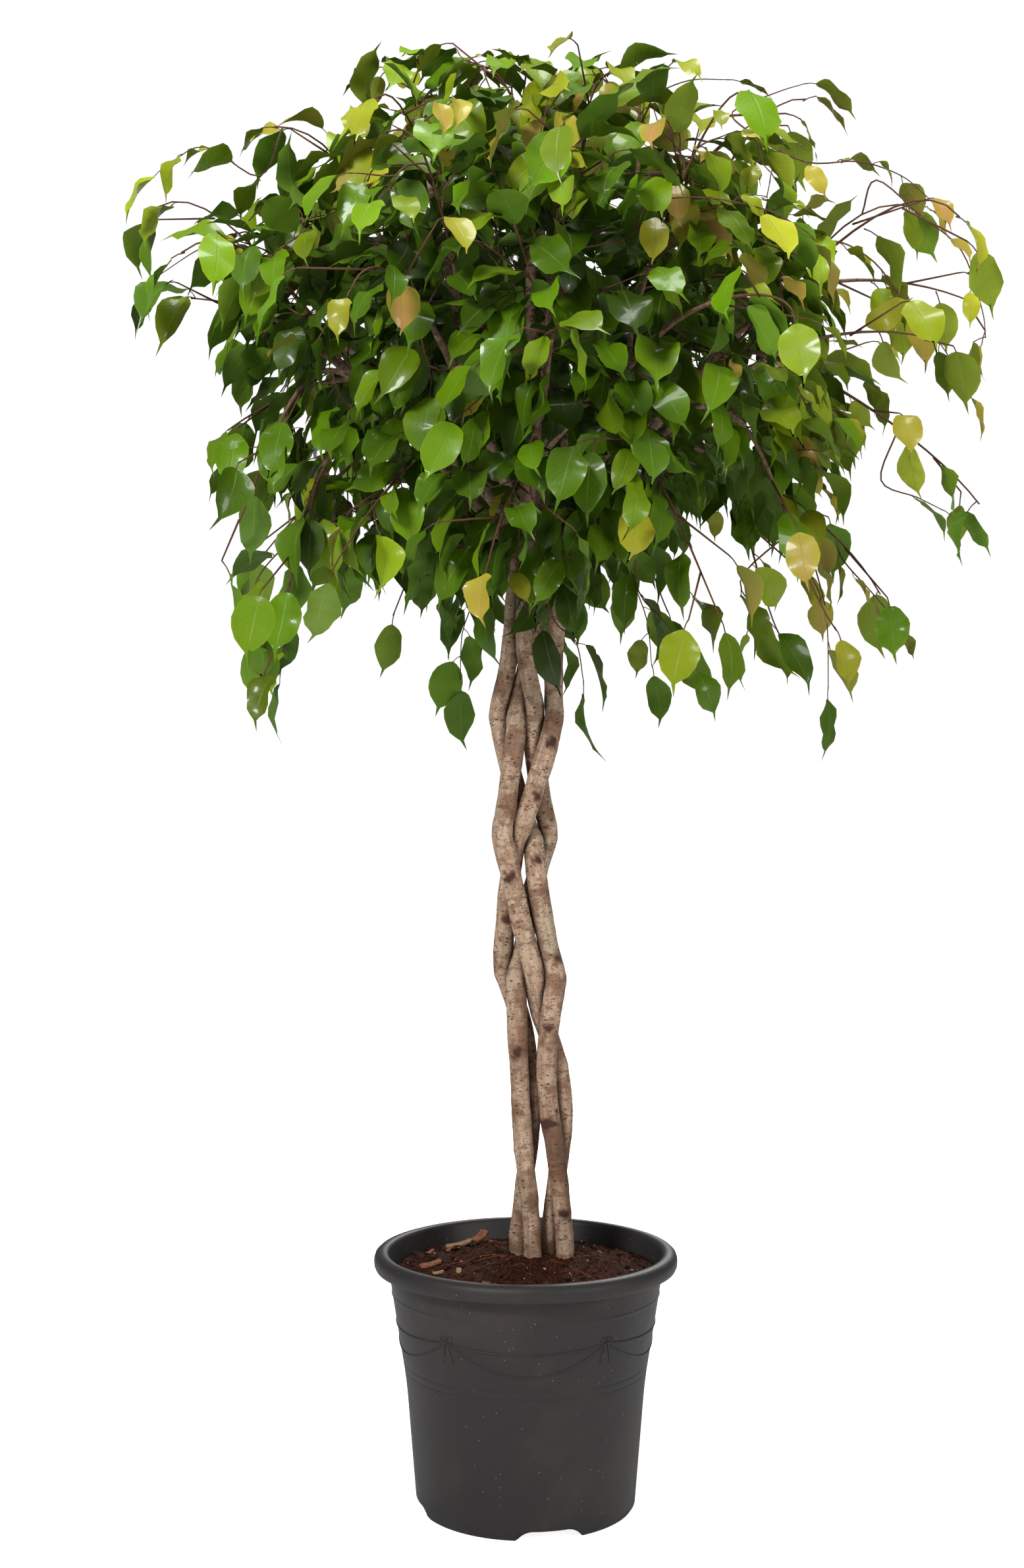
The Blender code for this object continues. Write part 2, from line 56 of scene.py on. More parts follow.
boxLow, boxHigh = (np.array(corner) / mm for corner in cadBox)


# camera, floor and lights
stage = {
    "cameraPlace": (-0.014, -2.0, 0.7323),
    "lens": 44.88,
    "floorSize": 60.0,
    "floorColour": (0.82, 0.82, 0.81, 1),
    "floorGlow": 0.9,
    "worldColour": (1.0, 1.0, 1.0, 1),
    "background": 1.02,
    "worldLight": 0.22,
    # name, place, aim, size, power
    "lights": [
        ("key", (-1.5, -2.4, 2.5), (0, 0, 0.95), 0.8, 106),
        ("fill", (2.3, -2.0, 1.5), (0, 0, 0.8), 0.9, 36),
        ("top", (0.2, -0.5, 3.4), (0, 0, 1.2), 1.0, 54),
        ("back", (0.6, 2.6, 2.0), (0, 0, 1.0), 1.2, 48),
    ],
}


def addCamera():
    data = bpy.data.cameras.new("photoView")
    data.lens = stage["lens"]
    data.sensor_width = 36
    data.clip_end = 200
    view = bpy.data.objects.new("photoView", data)
    view.location = stage["cameraPlace"]
    view.rotation_euler = (math.radians(90), 0, 0)
    bpy.context.scene.collection.objects.link(view)
    bpy.context.scene.camera = view


def addLight(name, place, aim, size, power):
    data = bpy.data.lights.new(name, "AREA")
    data.shape = "DISK"
    data.size = size
    data.energy = power
    lamp = bpy.data.objects.new(name, data)
    lamp.location = place
    lamp.rotation_euler = (Vector(aim) - Vector(place)).to_track_quat("-Z", "Y").to_euler()
    bpy.context.scene.collection.objects.link(lamp)


addCamera()
for lightRow in stage["lights"]:
    addLight(*lightRow)
bpy.context.scene.view_settings.view_transform = "Standard"


# materials
class Wire:
    # one output socket; sums on it add Math nodes
    def __init__(self, tree, socket=None):
        self.tree = tree
        self.socket = socket

    def node(self, kind, settings=None, inputs=None, out=0):
        made = self.tree.nodes.new(kind)
        settings = dict(settings or {})
        stops = settings.pop("stops", None)
        for key, value in settings.items():
            setattr(made, key, value)
        if stops:
            ramp = made.color_ramp
            while len(ramp.elements) < len(stops):
                ramp.elements.new(1)
            for element, (at, colour) in zip(ramp.elements, stops):
                element.position = at
                element.color = (*colour, 1) if len(colour) == 3 else colour
        for key, value in (inputs or {}).items():
            self.plug(made.inputs[key], value)
        return Wire(self.tree, made.outputs[out])

    def plug(self, socket, value):
        if isinstance(value, Wire):
            self.tree.links.new(value.socket, socket)
        else:
            socket.default_value = value

    def sum(self, operation, a, b=0.0):
        return self.node("ShaderNodeMath", {"operation": operation}, {0: a, 1: b})

    def __add__(self, other):
        return self.sum("ADD", self, other)

    def __radd__(self, other):
        return self.sum("ADD", other, self)

    def __sub__(self, other):
        return self.sum("SUBTRACT", self, other)

    def __rsub__(self, other):
        return self.sum("SUBTRACT", other, self)

    def __mul__(self, other):
        return self.sum("MULTIPLY", self, other)

    def __rmul__(self, other):
        return self.sum("MULTIPLY", other, self)

    def __truediv__(self, other):
        return self.sum("DIVIDE", self, other)

    def __pow__(self, other):
        return self.sum("POWER", self, other)

    def step(self, low, high):
        # 0 below low, 1 above high, smooth between
        settings = {"interpolation_type": "SMOOTHSTEP"}
        return self.node("ShaderNodeMapRange", settings, {"Value": self, "From Min": low, "From Max": high})

    def blend(self, first, second):
        # a colour between two, by this value
        settings = {"data_type": "RGBA"}
        return self.node("ShaderNodeMix", settings, {0: self, 6: first, 7: second}, 2)

    def parts(self):
        split = self.node("ShaderNodeSeparateXYZ", None, {0: self}).socket.node
        return [Wire(self.tree, split.outputs[k]) for k in range(3)]


def makeWorld():
    # white where it is seen, dimmer where it lights the plant, so that gloss stays clear
    world = bpy.data.worlds.new("softStudio")
    world.use_nodes = True
    wire = Wire(world.node_tree)
    seen = wire.node("ShaderNodeLightPath")
    background = world.node_tree.nodes["Background"].inputs
    background["Color"].default_value = stage["worldColour"]
    wire.plug(background["Strength"], stage["worldLight"] + seen * (stage["background"] - stage["worldLight"]))
    bpy.context.scene.world = world


makeWorld()
print("camera and lights set")


def startMaterial(name, constants):
    material = bpy.data.materials.new(name)
    material.use_nodes = True
    shader = material.node_tree.nodes["Principled BSDF"]
    for key, value in constants.items():
        shader.inputs[key].default_value = value
    return material, Wire(material.node_tree), shader


def objectPlace(wire, scale=(1, 1, 1)):
    place = wire.node("ShaderNodeTexCoord", None, None, 3)
    return wire.node("ShaderNodeVectorMath", {"operation": "MULTIPLY"}, {0: place, 1: scale})


def attribute(wire, name, out):
    return wire.node("ShaderNodeAttribute", {"attribute_name": name}, None, out)


def noiseOf(wire, place, scale, detail=3.0, roughness=0.55):
    return wire.node("ShaderNodeTexNoise", None, {
        "Vector": place, "Scale": scale, "Detail": detail, "Roughness": roughness})


def bump(wire, height, distance, strength=1.0):
    return wire.node("ShaderNodeBump", None, {"Height": height, "Distance": distance, "Strength": strength})


def finishShader(wire, shader, links):
    for key, value in links.items():
        wire.plug(shader.inputs[key], value)


potLook = {
    "charcoal": (0.0205, 0.0184, 0.0184, 1),
    "dusty": (0.035, 0.028, 0.024, 1),
    "speck": (0.20, 0.19, 0.19, 1),
}


def makePotPlastic():
    material, wire, shader = startMaterial("potPlastic", {"Specular IOR Level": 0.24})
    place = objectPlace(wire)
    cloud = noiseOf(wire, place, 9.0, 4.0)
    streak = noiseOf(wire, objectPlace(wire, (30, 30, 6)), 1.0, 3.0)
    grain = noiseOf(wire, place, 900.0, 2.0)
    cells = wire.node("ShaderNodeTexVoronoi", {"feature": "F1"}, {"Vector": place, "Scale": 240.0})
    pick = wire.node("ShaderNodeTexVoronoi", {"feature": "F1"}, {"Vector": place, "Scale": 240.0}, 1).parts()[0]
    speck = (1 - cells.step(0.09, 0.16)) * pick.step(0.90, 0.93)
    colour = cloud.step(0.45, 0.8).blend(potLook["charcoal"], potLook["dusty"])
    colour = (speck * 0.8).blend(colour, potLook["speck"])
    finishShader(wire, shader, {
        "Base Color": colour,
        "Roughness": 0.44 + streak * 0.14 + speck * 0.2,
        "Normal": bump(wire, grain + streak * 0.6, 0.00025, 0.5),
    })
    return material


mixLook = {
    "dark": (0.009, 0.0034, 0.0016, 1),
    "peat": (0.050, 0.0155, 0.0065, 1),
    "rust": (0.125, 0.034, 0.012, 1),
    "perlite": (0.40, 0.31, 0.23, 1),
    "fibre": (0.125, 0.035, 0.014, 1),
    "chip": (0.33, 0.21, 0.11, 1),
    "redChip": (0.27, 0.105, 0.050, 1),
}


def makePottingMix():
    material, wire, shader = startMaterial("pottingMix", {"Specular IOR Level": 0.08})
    place = objectPlace(wire)
    crumbs = noiseOf(wire, place, 260.0, 5.0, 0.7)
    patches = noiseOf(wire, place, 34.0, 3.0)
    strands = noiseOf(wire, objectPlace(wire, (90, 420, 300)), 1.0, 4.0, 0.6)
    colour = crumbs.step(0.35, 0.68).blend(mixLook["dark"], mixLook["peat"])
    colour = (patches.step(0.5, 0.72) * strands.step(0.48, 0.66) * 0.75).blend(colour, mixLook["rust"])
    finishShader(wire, shader, {
        "Base Color": colour,
        "Roughness": 0.72 + crumbs * 0.25,
        "Normal": bump(wire, crumbs + strands * 0.5, 0.0012, 0.9),
    })
    return material


def makeBitMaterial(name, colour, darker, scale, rough):
    material, wire, shader = startMaterial(name, {"Specular IOR Level": 0.2})
    place = objectPlace(wire)
    grain = noiseOf(wire, place, scale, 4.0, 0.65)
    finishShader(wire, shader, {
        "Base Color": grain.step(0.35, 0.65).blend(darker, colour),
        "Roughness": rough + grain * 0.15,
        "Normal": bump(wire, grain, 0.0006, 0.7),
    })
    return material


barkLook = {
    "pale": (0.470, 0.340, 0.245, 1),
    "warm": (0.275, 0.172, 0.108, 1),
    "brown": (0.135, 0.062, 0.034, 1),
    "dark": (0.046, 0.019, 0.011, 1),
    "young": (0.085, 0.034, 0.016, 1),
    "moss": (0.300, 0.265, 0.175, 1),
}


def cork(wire, place, stretch, scale, size, share):
    # scattered spots, flatter than wide: their middles, and only some of the cells
    stretched = wire.node("ShaderNodeVectorMath", {"operation": "MULTIPLY"}, {0: place, 1: (1, 1, stretch)})
    cells = wire.node("ShaderNodeTexVoronoi", {"feature": "F1"}, {"Vector": stretched, "Scale": scale})
    pick = wire.node("ShaderNodeTexVoronoi", {"feature": "F1"}, {"Vector": stretched, "Scale": scale}, 1).parts()[0]
    return (1 - cells.step(size, size + 0.14)) * (1 - pick.step(share, share + 0.04))


def makeBark():
    material, wire, shader = startMaterial("bark", {"Specular IOR Level": 0.25})
    place = attribute(wire, "place", 1)  # unrolled along the stem, so nothing slides where it bends
    # the tone's second channel is painted shade between the stems, not the bark's own colour
    age, light, stain = attribute(wire, "tone", 0).parts()
    flat = wire.node("ShaderNodeVectorMath", {"operation": "MULTIPLY"}, {0: place, 1: (1, 1, 2.0)})
    bands = wire.node("ShaderNodeVectorMath", {"operation": "MULTIPLY"}, {0: place, 1: (0.12, 0.12, 1)})
    tall = wire.node("ShaderNodeVectorMath", {"operation": "MULTIPLY"}, {0: place, 1: (1, 1, 0.22)})
    clumps = noiseOf(wire, place, 48.0, 2.0, 0.5).step(0.42, 0.58)
    dash = cork(wire, place, 2.2, 170.0, 0.22, 0.5) * (0.25 + clumps * 0.75)
    dots = cork(wire, place, 1.2, 400.0, 0.26, 0.5) * (1 - clumps * 0.6)
    fine = noiseOf(wire, place, 620.0, 3.0, 0.6)
    long = noiseOf(wire, tall, 200.0, 4.0, 0.6)
    mottle = noiseOf(wire, flat, 60.0, 4.0, 0.65)
    band = noiseOf(wire, bands, 75.0, 3.0, 0.6)
    patches = noiseOf(wire, place, 26.0, 3.0, 0.6)
    mossy = noiseOf(wire, objectPlace(wire), 15.0, 2.0)
    colour = (long * 0.5 + mottle * 0.5).step(0.38, 0.60).blend(barkLook["warm"], barkLook["pale"])
    colour = (mossy.step(0.50, 0.66) * 0.5).blend(colour, barkLook["moss"])
    colour = (mottle.step(0.51, 0.62) * 0.72).blend(colour, barkLook["brown"])
    colour = (patches.step(0.50, 0.62) * 0.7).blend(colour, barkLook["brown"])
    colour = (band.step(0.56, 0.68) * 0.45).blend(colour, barkLook["brown"])
    colour = (stain.step(0.05, 0.5) * (0.5 + fine * 0.5)).blend(colour, barkLook["brown"])
    colour = stain.step(0.35, 0.9).blend(colour, barkLook["dark"])
    colour = age.step(0.45, 0.9).blend(colour, barkLook["young"])
    colour = (dash * 0.85).blend(colour, barkLook["dark"])
    colour = (dots * 0.65).blend(colour, barkLook["dark"])
    colour = (light.step(0.0, 0.9) * 0.85).blend(colour, barkLook["dark"])  # painted shade between the stems, darker where they lie close
    finishShader(wire, shader, {
        "Base Color": colour,
        "Roughness": 0.66 + fine * 0.2,
        "Normal": bump(wire, long * 0.5 + mottle * 0.5 + fine * 0.35 + band * 0.6 + dash * 0.5, 0.0009, 0.9),
    })
    return material


leafLook = {
    "stops": [
        (0.0, (0.030, 0.056, 0.003)),
        (0.2, (0.044, 0.096, 0.002)),
        (0.40, (0.082, 0.170, 0.0015)),
        (0.60, (0.158, 0.208, 0.004)),
        (0.82, (0.240, 0.246, 0.011)),
        (1.0, (0.300, 0.250, 0.024)),
    ],
    "salmon": (0.345, 0.150, 0.058, 1),
    "rib": (0.15, 0.24, 0.05, 1),
    "veins": 11.0,
    "under": (0.105, 0.19, 0.030, 1),
}


def makeLeaf(name, isUnder):
    material, wire, shader = startMaterial(name, {"Coat Roughness": 0.11, "Specular IOR Level": 0.15})
    along, across, seed = attribute(wire, "place", 1).parts()
    age, light, salmon = attribute(wire, "tone", 0).parts()
    edge = wire.sum("ABSOLUTE", across)
    rib = 1 - (edge + along * 0.02).step(0.02, 0.085)
    wave = wire.sum("SINE", (along * leafLook["veins"] - edge * 3.0 + seed) * 6.2832)
    vein = wave.step(0.72, 1.0) * (1 - edge.step(0.7, 0.95))
    blotch = noiseOf(wire, objectPlace(wire), 60.0, 3.0)
    ramp = wire.node("ShaderNodeValToRGB", {"stops": leafLook["stops"]}, {
        "Fac": age + (blotch - 0.5) * 0.12 + edge.step(0.8, 1.0) * 0.05})
    # the tone's light channel scales the colour: painted light and shade set by where the leaf grows
    shade = wire.node("ShaderNodeVectorMath", {"operation": "SCALE"}, {0: ramp, 3: 0.58 + light * 0.80})
    flush = (1 - edge.step(0.25, 1.0) * 0.7) * (0.4 + along * 0.6)
    colour = (salmon * flush).blend(shade, leafLook["salmon"])
    colour = (vein * 0.05).blend(colour, leafLook["rib"])
    colour = (rib * 0.30).blend(colour, leafLook["rib"])
    if isUnder:
        colour = wire.node("ShaderNodeMix", {"data_type": "RGBA"}, {0: 0.36, 6: colour, 7: leafLook["under"]}, 2)
    finishShader(wire, shader, {
        "Base Color": colour,
        "Roughness": (0.55 if isUnder else 0.34) + blotch * 0.12,
        "Coat Weight": 0.0 if isUnder else 0.21 - age * 0.08,
        "Normal": bump(wire, vein * 0.25 + rib * (-1.2 if not isUnder else 1.2) + blotch * 0.25, 0.0004, 0.5),
    })
    return material


def makeFloorMaterial():
    # the floor's glow is seen but lights nothing, so the undersides stay dark
    material, wire, shader = startMaterial("paleFloor", {
        "Base Color": stage["floorColour"], "Roughness": 0.95, "Specular IOR Level": 0.0,
        "Emission Strength": stage["floorGlow"]})
    seen = wire.node("ShaderNodeLightPath")
    finishShader(wire, shader, {"Emission Color": seen.blend((0, 0, 0, 1), (1, 1, 1, 1))})
    return material


materials = {
    "pot": makePotPlastic(),
    "mix": makePottingMix(),
    "perlite": makeBitMaterial("perlite", mixLook["perlite"], (0.27, 0.20, 0.14, 1), 500.0, 0.75),
    "fibre": makeBitMaterial("fibre", mixLook["fibre"], (0.060, 0.018, 0.008, 1), 300.0, 0.7),
    "chip": makeBitMaterial("barkChip", mixLook["chip"], (0.20, 0.105, 0.05, 1), 160.0, 0.7),
    "redChip": makeBitMaterial("redChip", mixLook["redChip"], (0.11, 0.038, 0.02, 1), 160.0, 0.75),
    "bark": makeBark(),
    "leafTop": makeLeaf("leafTop", False),
    "leafUnder": makeLeaf("leafUnder", True),
}
print("materials made:", ", ".join(materials))

bm = bmesh.new()
bmesh.ops.create_grid(bm, x_segments=1, y_segments=1, size=stage["floorSize"] / 2)
floorMesh = bpy.data.meshes.new("floor")
bm.to_mesh(floorMesh)
bm.free()
floorMesh.materials.append(makeFloorMaterial())
floor = bpy.data.objects.new("floor", floorMesh)
bpy.context.scene.collection.objects.link(floor)


# lines of the plait and the crown, in mm, as the solids have them
plait = {
    "depth": 10.5,
    "clear": 1.5,
    "straight": 258,
    "foot": 205,
    "girth": [(205, 8.2), (300, 8.0), (400, 9.1), (520, 9.6), (760, 9.5), (850, 8.4), (935, 7.6)],
    # stem: height, across, share of the depth towards the back
    "stems": {
        "left": [
            (935, -9, 0), (877, -13, 0.2), (833, -20, 0.2), (779, -26, 0.3), (753, -19, 1), (732, -11, 1),
            (712, -5, 1), (692, 0, 0.8), (672, 5, -0.3), (651, 8, -1), (618, 12, -0.6), (591, 17, -0.3),
            (523, 24, -0.5), (490, 20, -1), (456, 17, -1), (415, 18, -1), (382, 28, -0.6), (348, 34, -1),
            (321, 36, -0.9), (287, 39, -0.5), (260, 40, -0.5)],
        "back": [
            (935, 12, 1), (874, 8, 1), (854, 3, 1), (820, -5, 0.6), (793, -8, 0), (766, -12, -1),
            (739, -18, -1), (699, -17, -0.6), (658, -15, -1), (624, -13, -0.7), (591, -5, -0.6),
            (564, 1, -0.9), (537, 3, -0.5), (517, 7, 0.3), (493, 16, 1), (469, 30, 1), (449, 36, 0.5),
            (422, 40, 0.2), (389, 43, 0.2), (362, 42, 0.5), (345, 37, 1), (321, 30, 1), (294, 24, 1),
            (260, 23, 0.9)],
        "front": [
            (935, -2, -0.6), (901, -6, -0.8), (860, -6, -1), (833, 1, -0.7), (813, 5, -0.3), (793, 8, 0),
            (773, 9, 0.4), (753, 8, 1), (732, 11, 1), (715, 16, 0.7), (678, 15, 0.6), (658, 13, 1),
            (638, 9, 1), (618, 4, 1), (591, 1, 1), (564, -2, 1), (540, -5, 0.4), (523, -8, -0.6),
            (503, -9, -1), (456, -7, -0.4), (389, -4, -0.2), (358, -3, -0.5), (341, 0, -1), (314, 5, -1),
            (287, 7, -1), (260, 7, -1)],
        "right": [
            (935, 35, -0.2), (894, 30, 0), (820, 26, 0), (786, 24, -0.1), (766, 21, -0.6), (746, 16, -1),
            (722, 8, -1), (705, 3, -1), (688, -1, -0.6), (672, -5, 0.3), (655, -11, 1), (635, -17, 1),
            (611, -22, 0.6), (577, -22, 0.1), (547, -18, 0.3), (527, -15, 1), (510, -8, 1), (490, 1, 1),
            (456, 5, 1), (415, 7, 1), (368, 9, 0.8), (348, 5, 0.9), (331, 0, 1), (308, -6, 1),
            (260, -8, 0.7)],
    },
}

crown = {
    # stem: end of its leader and its boughs' tips, then limbs: height, end, tips of three boughs
    "left": {
        "leader": ((-96, -24, 1330), [(-143, -30, 1455), (-250, -60, 1385)]),
        "limbs": [
            (968, (-225, -22, 1185), [(-423, -34, 1190), (-382, 26, 1330), (-335, -50, 1050)]),
            (1000, (-165, -118, 1120), [(-300, -160, 925), (-318, -205, 1220), (-255, -125, 830)]),
            (1030, (-172, 120, 1190), [(-305, 195, 1235), (-290, 130, 975), (-215, 245, 1380)]),
        ],
    },
    "back": {
        "leader": ((18, 84, 1365), [(62, 125, 1462), (-66, 150, 1440)]),
        "limbs": [
            (975, (-100, 190, 1175), [(-200, 345, 1140), (-150, 235, 925), (-95, 300, 1330)]),
            (1010, (10, 222, 1130), [(0, 412, 1090), (45, 285, 910), (20, 330, 1290)]),
            (1045, (112, 185, 1185), [(215, 345, 1150), (165, 245, 930), (190, 270, 1355)]),
        ],
    },
    "front": {
        "leader": ((6, -78, 1350), [(-40, -112, 1425), (78, -150, 1405)]),
        "limbs": [
            (975, (-84, -186, 1150), [(-150, -350, 1150), (-178, -225, 925), (-130, -300, 1330)]),
            (1005, (18, -214, 1110), [(35, -412, 1085), (-35, -290, 925), (30, -330, 1295)]),
            (1040, (122, -178, 1150), [(225, -345, 1130), (178, -215, 880), (190, -280, 1340)]),
        ],
    },
    "right": {
        "leader": ((112, -12, 1345), [(128, 8, 1450), (290, 20, 1440), (222, -80, 1370)]),
        "limbs": [
            (965, (255, 4, 1225), [(492, -12, 1195), (410, 44, 1335), (450, -60, 1010)]),
            (1000, (212, -112, 1130), [(440, -140, 1120), (395, -215, 1250), (298, -120, 880)]),
            (1035, (205, 118, 1165), [(385, 215, 1190), (380, 90, 935), (280, 160, 900)]),
        ],
    },
}

# outline of the crown from the front: height, left, right
outline = [
    (765, -268, 320), (887, -301, 409), (988, -312, 479), (1056, -340, 440), (1123, -385, 475),
    (1191, -433, 500), (1224, -435, 497), (1292, -405, 472), (1359, -398, 414), (1393, -368, 387),
    (1427, -262, 310), (1460, -195, 300), (1480, -180, 165), (1500, -150, 100),
]

wood = {
    "limbGirth": (6.4, 3.2),
    "stubGirth": 2.6,
    "stubLength": 24,
    "tipGirth": 1.3,
    "petiole": 12,
    "leafLength": (60, 80),
    "leafWidth": 0.5,
    "keepApart": 1.2,
    "firstOwner": 10,
}


def unit(v):
    return v / np.linalg.norm(v)


def hermite(a, b, leave, arrive, count):
    t = np.linspace(0, 1, count)[:, None]
    return ((2 * t**3 - 3 * t**2 + 1) * a + (t**3 - 2 * t**2 + t) * leave
            + (3 * t**2 - 2 * t**3) * b + (t**3 - t**2) * arrive)


def girthAt(height):
    return np.interp(height, [h for h, _ in plait["girth"]], [r for _, r in plait["girth"]])


def pushed(apart, far, short):
    return apart / far[:, None] * short.clip(0)[:, None] * 0.3 * (0.8, 1, 0)


def plaitLines():
    # four centre-lines, pushed sideways until the stems clear one another
    heights = np.arange(plait["straight"], 936.0, 7)
    wanted = {}
    for name, knots in plait["stems"].items():
        z, x, d = np.array(knots[::-1], float).T
        wanted[name] = np.column_stack([
            np.interp(heights, z, x), plait["depth"] * np.interp(heights, z, d), heights])
    names = list(wanted)
    lines = dict(wanted)
    girth = girthAt(heights)
    rows = np.arange(len(heights))
    for turn in range(900):
        push = {name: np.zeros((len(heights), 3)) for name in names}
        for i, one in enumerate(names):
            for two in names[i + 1:]:
                apart = lines[one][:, None] - lines[two][None]
                far = np.linalg.norm(apart, axis=2)
                short = girth[:, None] + girth[None] + plait["clear"] - far
                worst = short.argmax(axis=1)
                push[one] += pushed(apart[rows, worst], far[rows, worst], short[rows, worst])
                worst = short.argmax(axis=0)
                push[two] -= pushed(apart[worst, rows], far[worst, rows], short[worst, rows])
        for name in names:
            line = lines[name] + push[name]
            if turn < 860:
                line[1:-1] += 0.1 * (line[:-2] + line[2:] - 2 * line[1:-1]) * (1, 1, 0)
                line += 0.004 * (wanted[name] - line)
            lines[name] = line
    return lines


def pointOn(line, share):
    at = share * (len(line) - 1)
    k = int(at)
    return line[k] + (line[k + 1] - line[k]) * (at - k), unit(line[k + 1] - line[k])


def limbLine(start, end, rise, count=7):
    reach = np.linalg.norm(end - start)
    out = unit((end - start) * (1, 1, 0.15))
    leave = unit(np.array([0, 0, 1]) + 0.75 * out) * reach * 0.9
    arrive = unit(out + np.array([0, 0, rise])) * reach * 0.9
    return hermite(start, end, leave, arrive, count)


def addStubs(tubes, seats, line, shares, tips):
    for share, tip in zip(shares, tips):
        here, along = pointOn(line, share)
        aim = unit(tip - here)
        way = unit(unit(aim - along * aim.dot(along)) + 0.75 * along)
        end = here + way * wood["stubLength"]
        tubes.append((np.array([here, end]), (wood["stubGirth"], wood["stubGirth"]), None))
        seats.append((end, way, wood["stubGirth"], tip))


def woodyFrames(lines):
    # per stem: tubes as (line, radii, fine line), and the seats of its boughs as (point, way, girth, tip)
    stems = {}
    for name, plan in crown.items():
        leaderEnd, leaderTips = plan["leader"]
        trunk = lines[name]
        top = trunk[-1]
        end = np.array(leaderEnd, float)
        ends = (top, end, unit(top - trunk[-6]) * 190, unit(end - top + (0, 0, 120)) * 300)
        leader = hermite(*ends, 9)
        whole = np.vstack([trunk[:-1:3], leader])
        radii = np.concatenate([girthAt(whole[:-9, 2]), np.linspace(girthAt(935), wood["limbGirth"][1], 9)])
        foot = [(trunk[0][0], trunk[0][1], plait["foot"])]
        fine = np.vstack([foot, trunk[:-1], hermite(*ends, 44)])
        tubes = [(np.vstack([foot, whole]), np.concatenate([[girthAt(plait["foot"])], radii]), fine)]
        tips = [np.array(tip, float) for tip in leaderTips]
        seats = [(whole[-1], unit(whole[-1] - whole[-2]), wood["limbGirth"][1], tips[0])]
        addStubs(tubes, seats, leader, (0.6, 0.82), tips[1:])
        for height, limbEnd, limbTips in plan["limbs"]:
            start = np.array([np.interp(height, whole[:, 2], whole[:, k]) for k in range(3)])
            limbEnd = np.array(limbEnd, float)
            line = limbLine(start, limbEnd, 0.55)
            tips = [np.array(tip, float) for tip in limbTips]
            tubes.append((line, np.linspace(*wood["limbGirth"], len(line)), limbLine(start, limbEnd, 0.55, 31)))
            seats.append((line[-1], unit(line[-1] - line[-2]), wood["limbGirth"][1], tips[0]))
            addStubs(tubes, seats, line, (0.52, 0.78), tips[1:])
        stems[name] = (tubes, seats)
    return stems


class Room:
    # where wood and leaves already are, as balls with an owner each
    def __init__(self):
        self.centres = np.zeros((0, 3))
        self.radii = np.zeros(0)
        self.owners = np.zeros(0, int)
        self.leafy = np.zeros(0, bool)

    def add(self, centres, radii, owner, leafy):
        self.centres = np.vstack([self.centres, centres])
        self.radii = np.concatenate([self.radii, radii])
        self.owners = np.concatenate([self.owners, np.full(len(centres), owner)])
        self.leafy = np.concatenate([self.leafy, np.full(len(centres), leafy)])

    def spare(self, centres, radii, owner, leafy):
        far = np.linalg.norm(self.centres[None] - centres[:, None], axis=2)
        reach = self.radii[None] + radii[:, None]
        own = self.owners == owner
        gap = far - np.where(own[None], reach * 0.5, reach)
        skip = own & ~(self.leafy & leafy)
        gap = np.where(skip[None], 1e3, gap)
        return gap.min() if gap.size else 1e3

    def crowding(self, centres, radii, factor):
        # least gap to anything near, with leaves let closer together than they are wide
        near = (np.abs(self.centres - centres.mean(0)) < 85).all(axis=1)
        if not near.any():
            return 1e3
        far = np.linalg.norm(self.centres[near][None] - centres[:, None], axis=2)
        share = np.where(self.leafy[near], factor, 0.8)
        return (far - (self.radii[near][None] + radii[:, None]) * share[None]).min()


def balls(line, radii, step=7):
    line = np.asarray(line, float)
    run = np.concatenate([[0], np.cumsum(np.linalg.norm(np.diff(line, axis=0), axis=1))])
    at = np.arange(0, run[-1] + step, step).clip(max=run[-1])
    centres = np.column_stack([np.interp(at, run, line[:, k]) for k in range(3)])
    return centres, np.interp(at, run, radii)


def leafBalls(foot, petiole, way, length, width):
    base = foot + petiole
    centres = np.array([foot + petiole * 0.6] + [base + way * length * u for u in (0.1, 0.32, 0.55, 0.78, 0.97)])
    drop = np.array([0, 0, 0, -0.02, -0.07, -0.12])[:, None] * length * np.array([0, 0, 1.0])
    return centres + drop, np.array([0.06, 0.3, 0.5, 0.46, 0.3, 0.1]) * width


def stalkFolds(stalk, way):
    return any(unit(here - before).dot(way) < 0.3 for before, here in zip(stalk, stalk[1:]))


def beyondOutline(points, reach=0.0):
    # how far points lie outside the crown's outline from the front, or outside its depth
    low, left, right = np.array(outline, float).T
    near = 2000 / (2000 + points[:, 1])
    across = -14 + (points[:, 0] + 14) * near
    height = 732 + (points[:, 2] - 732) * near
    half = 0.96 * (np.interp(points[:, 2], low, right) - np.interp(points[:, 2], low, left)) / 2
    over = [
        height + reach - low[-1], low[0] - points[:, 2] + reach,
        across + reach - np.interp(height, low, right), np.interp(height, low, left) - across + reach,
        np.abs(points[:, 1]) + reach - half,
    ]
    return float(np.max(over))


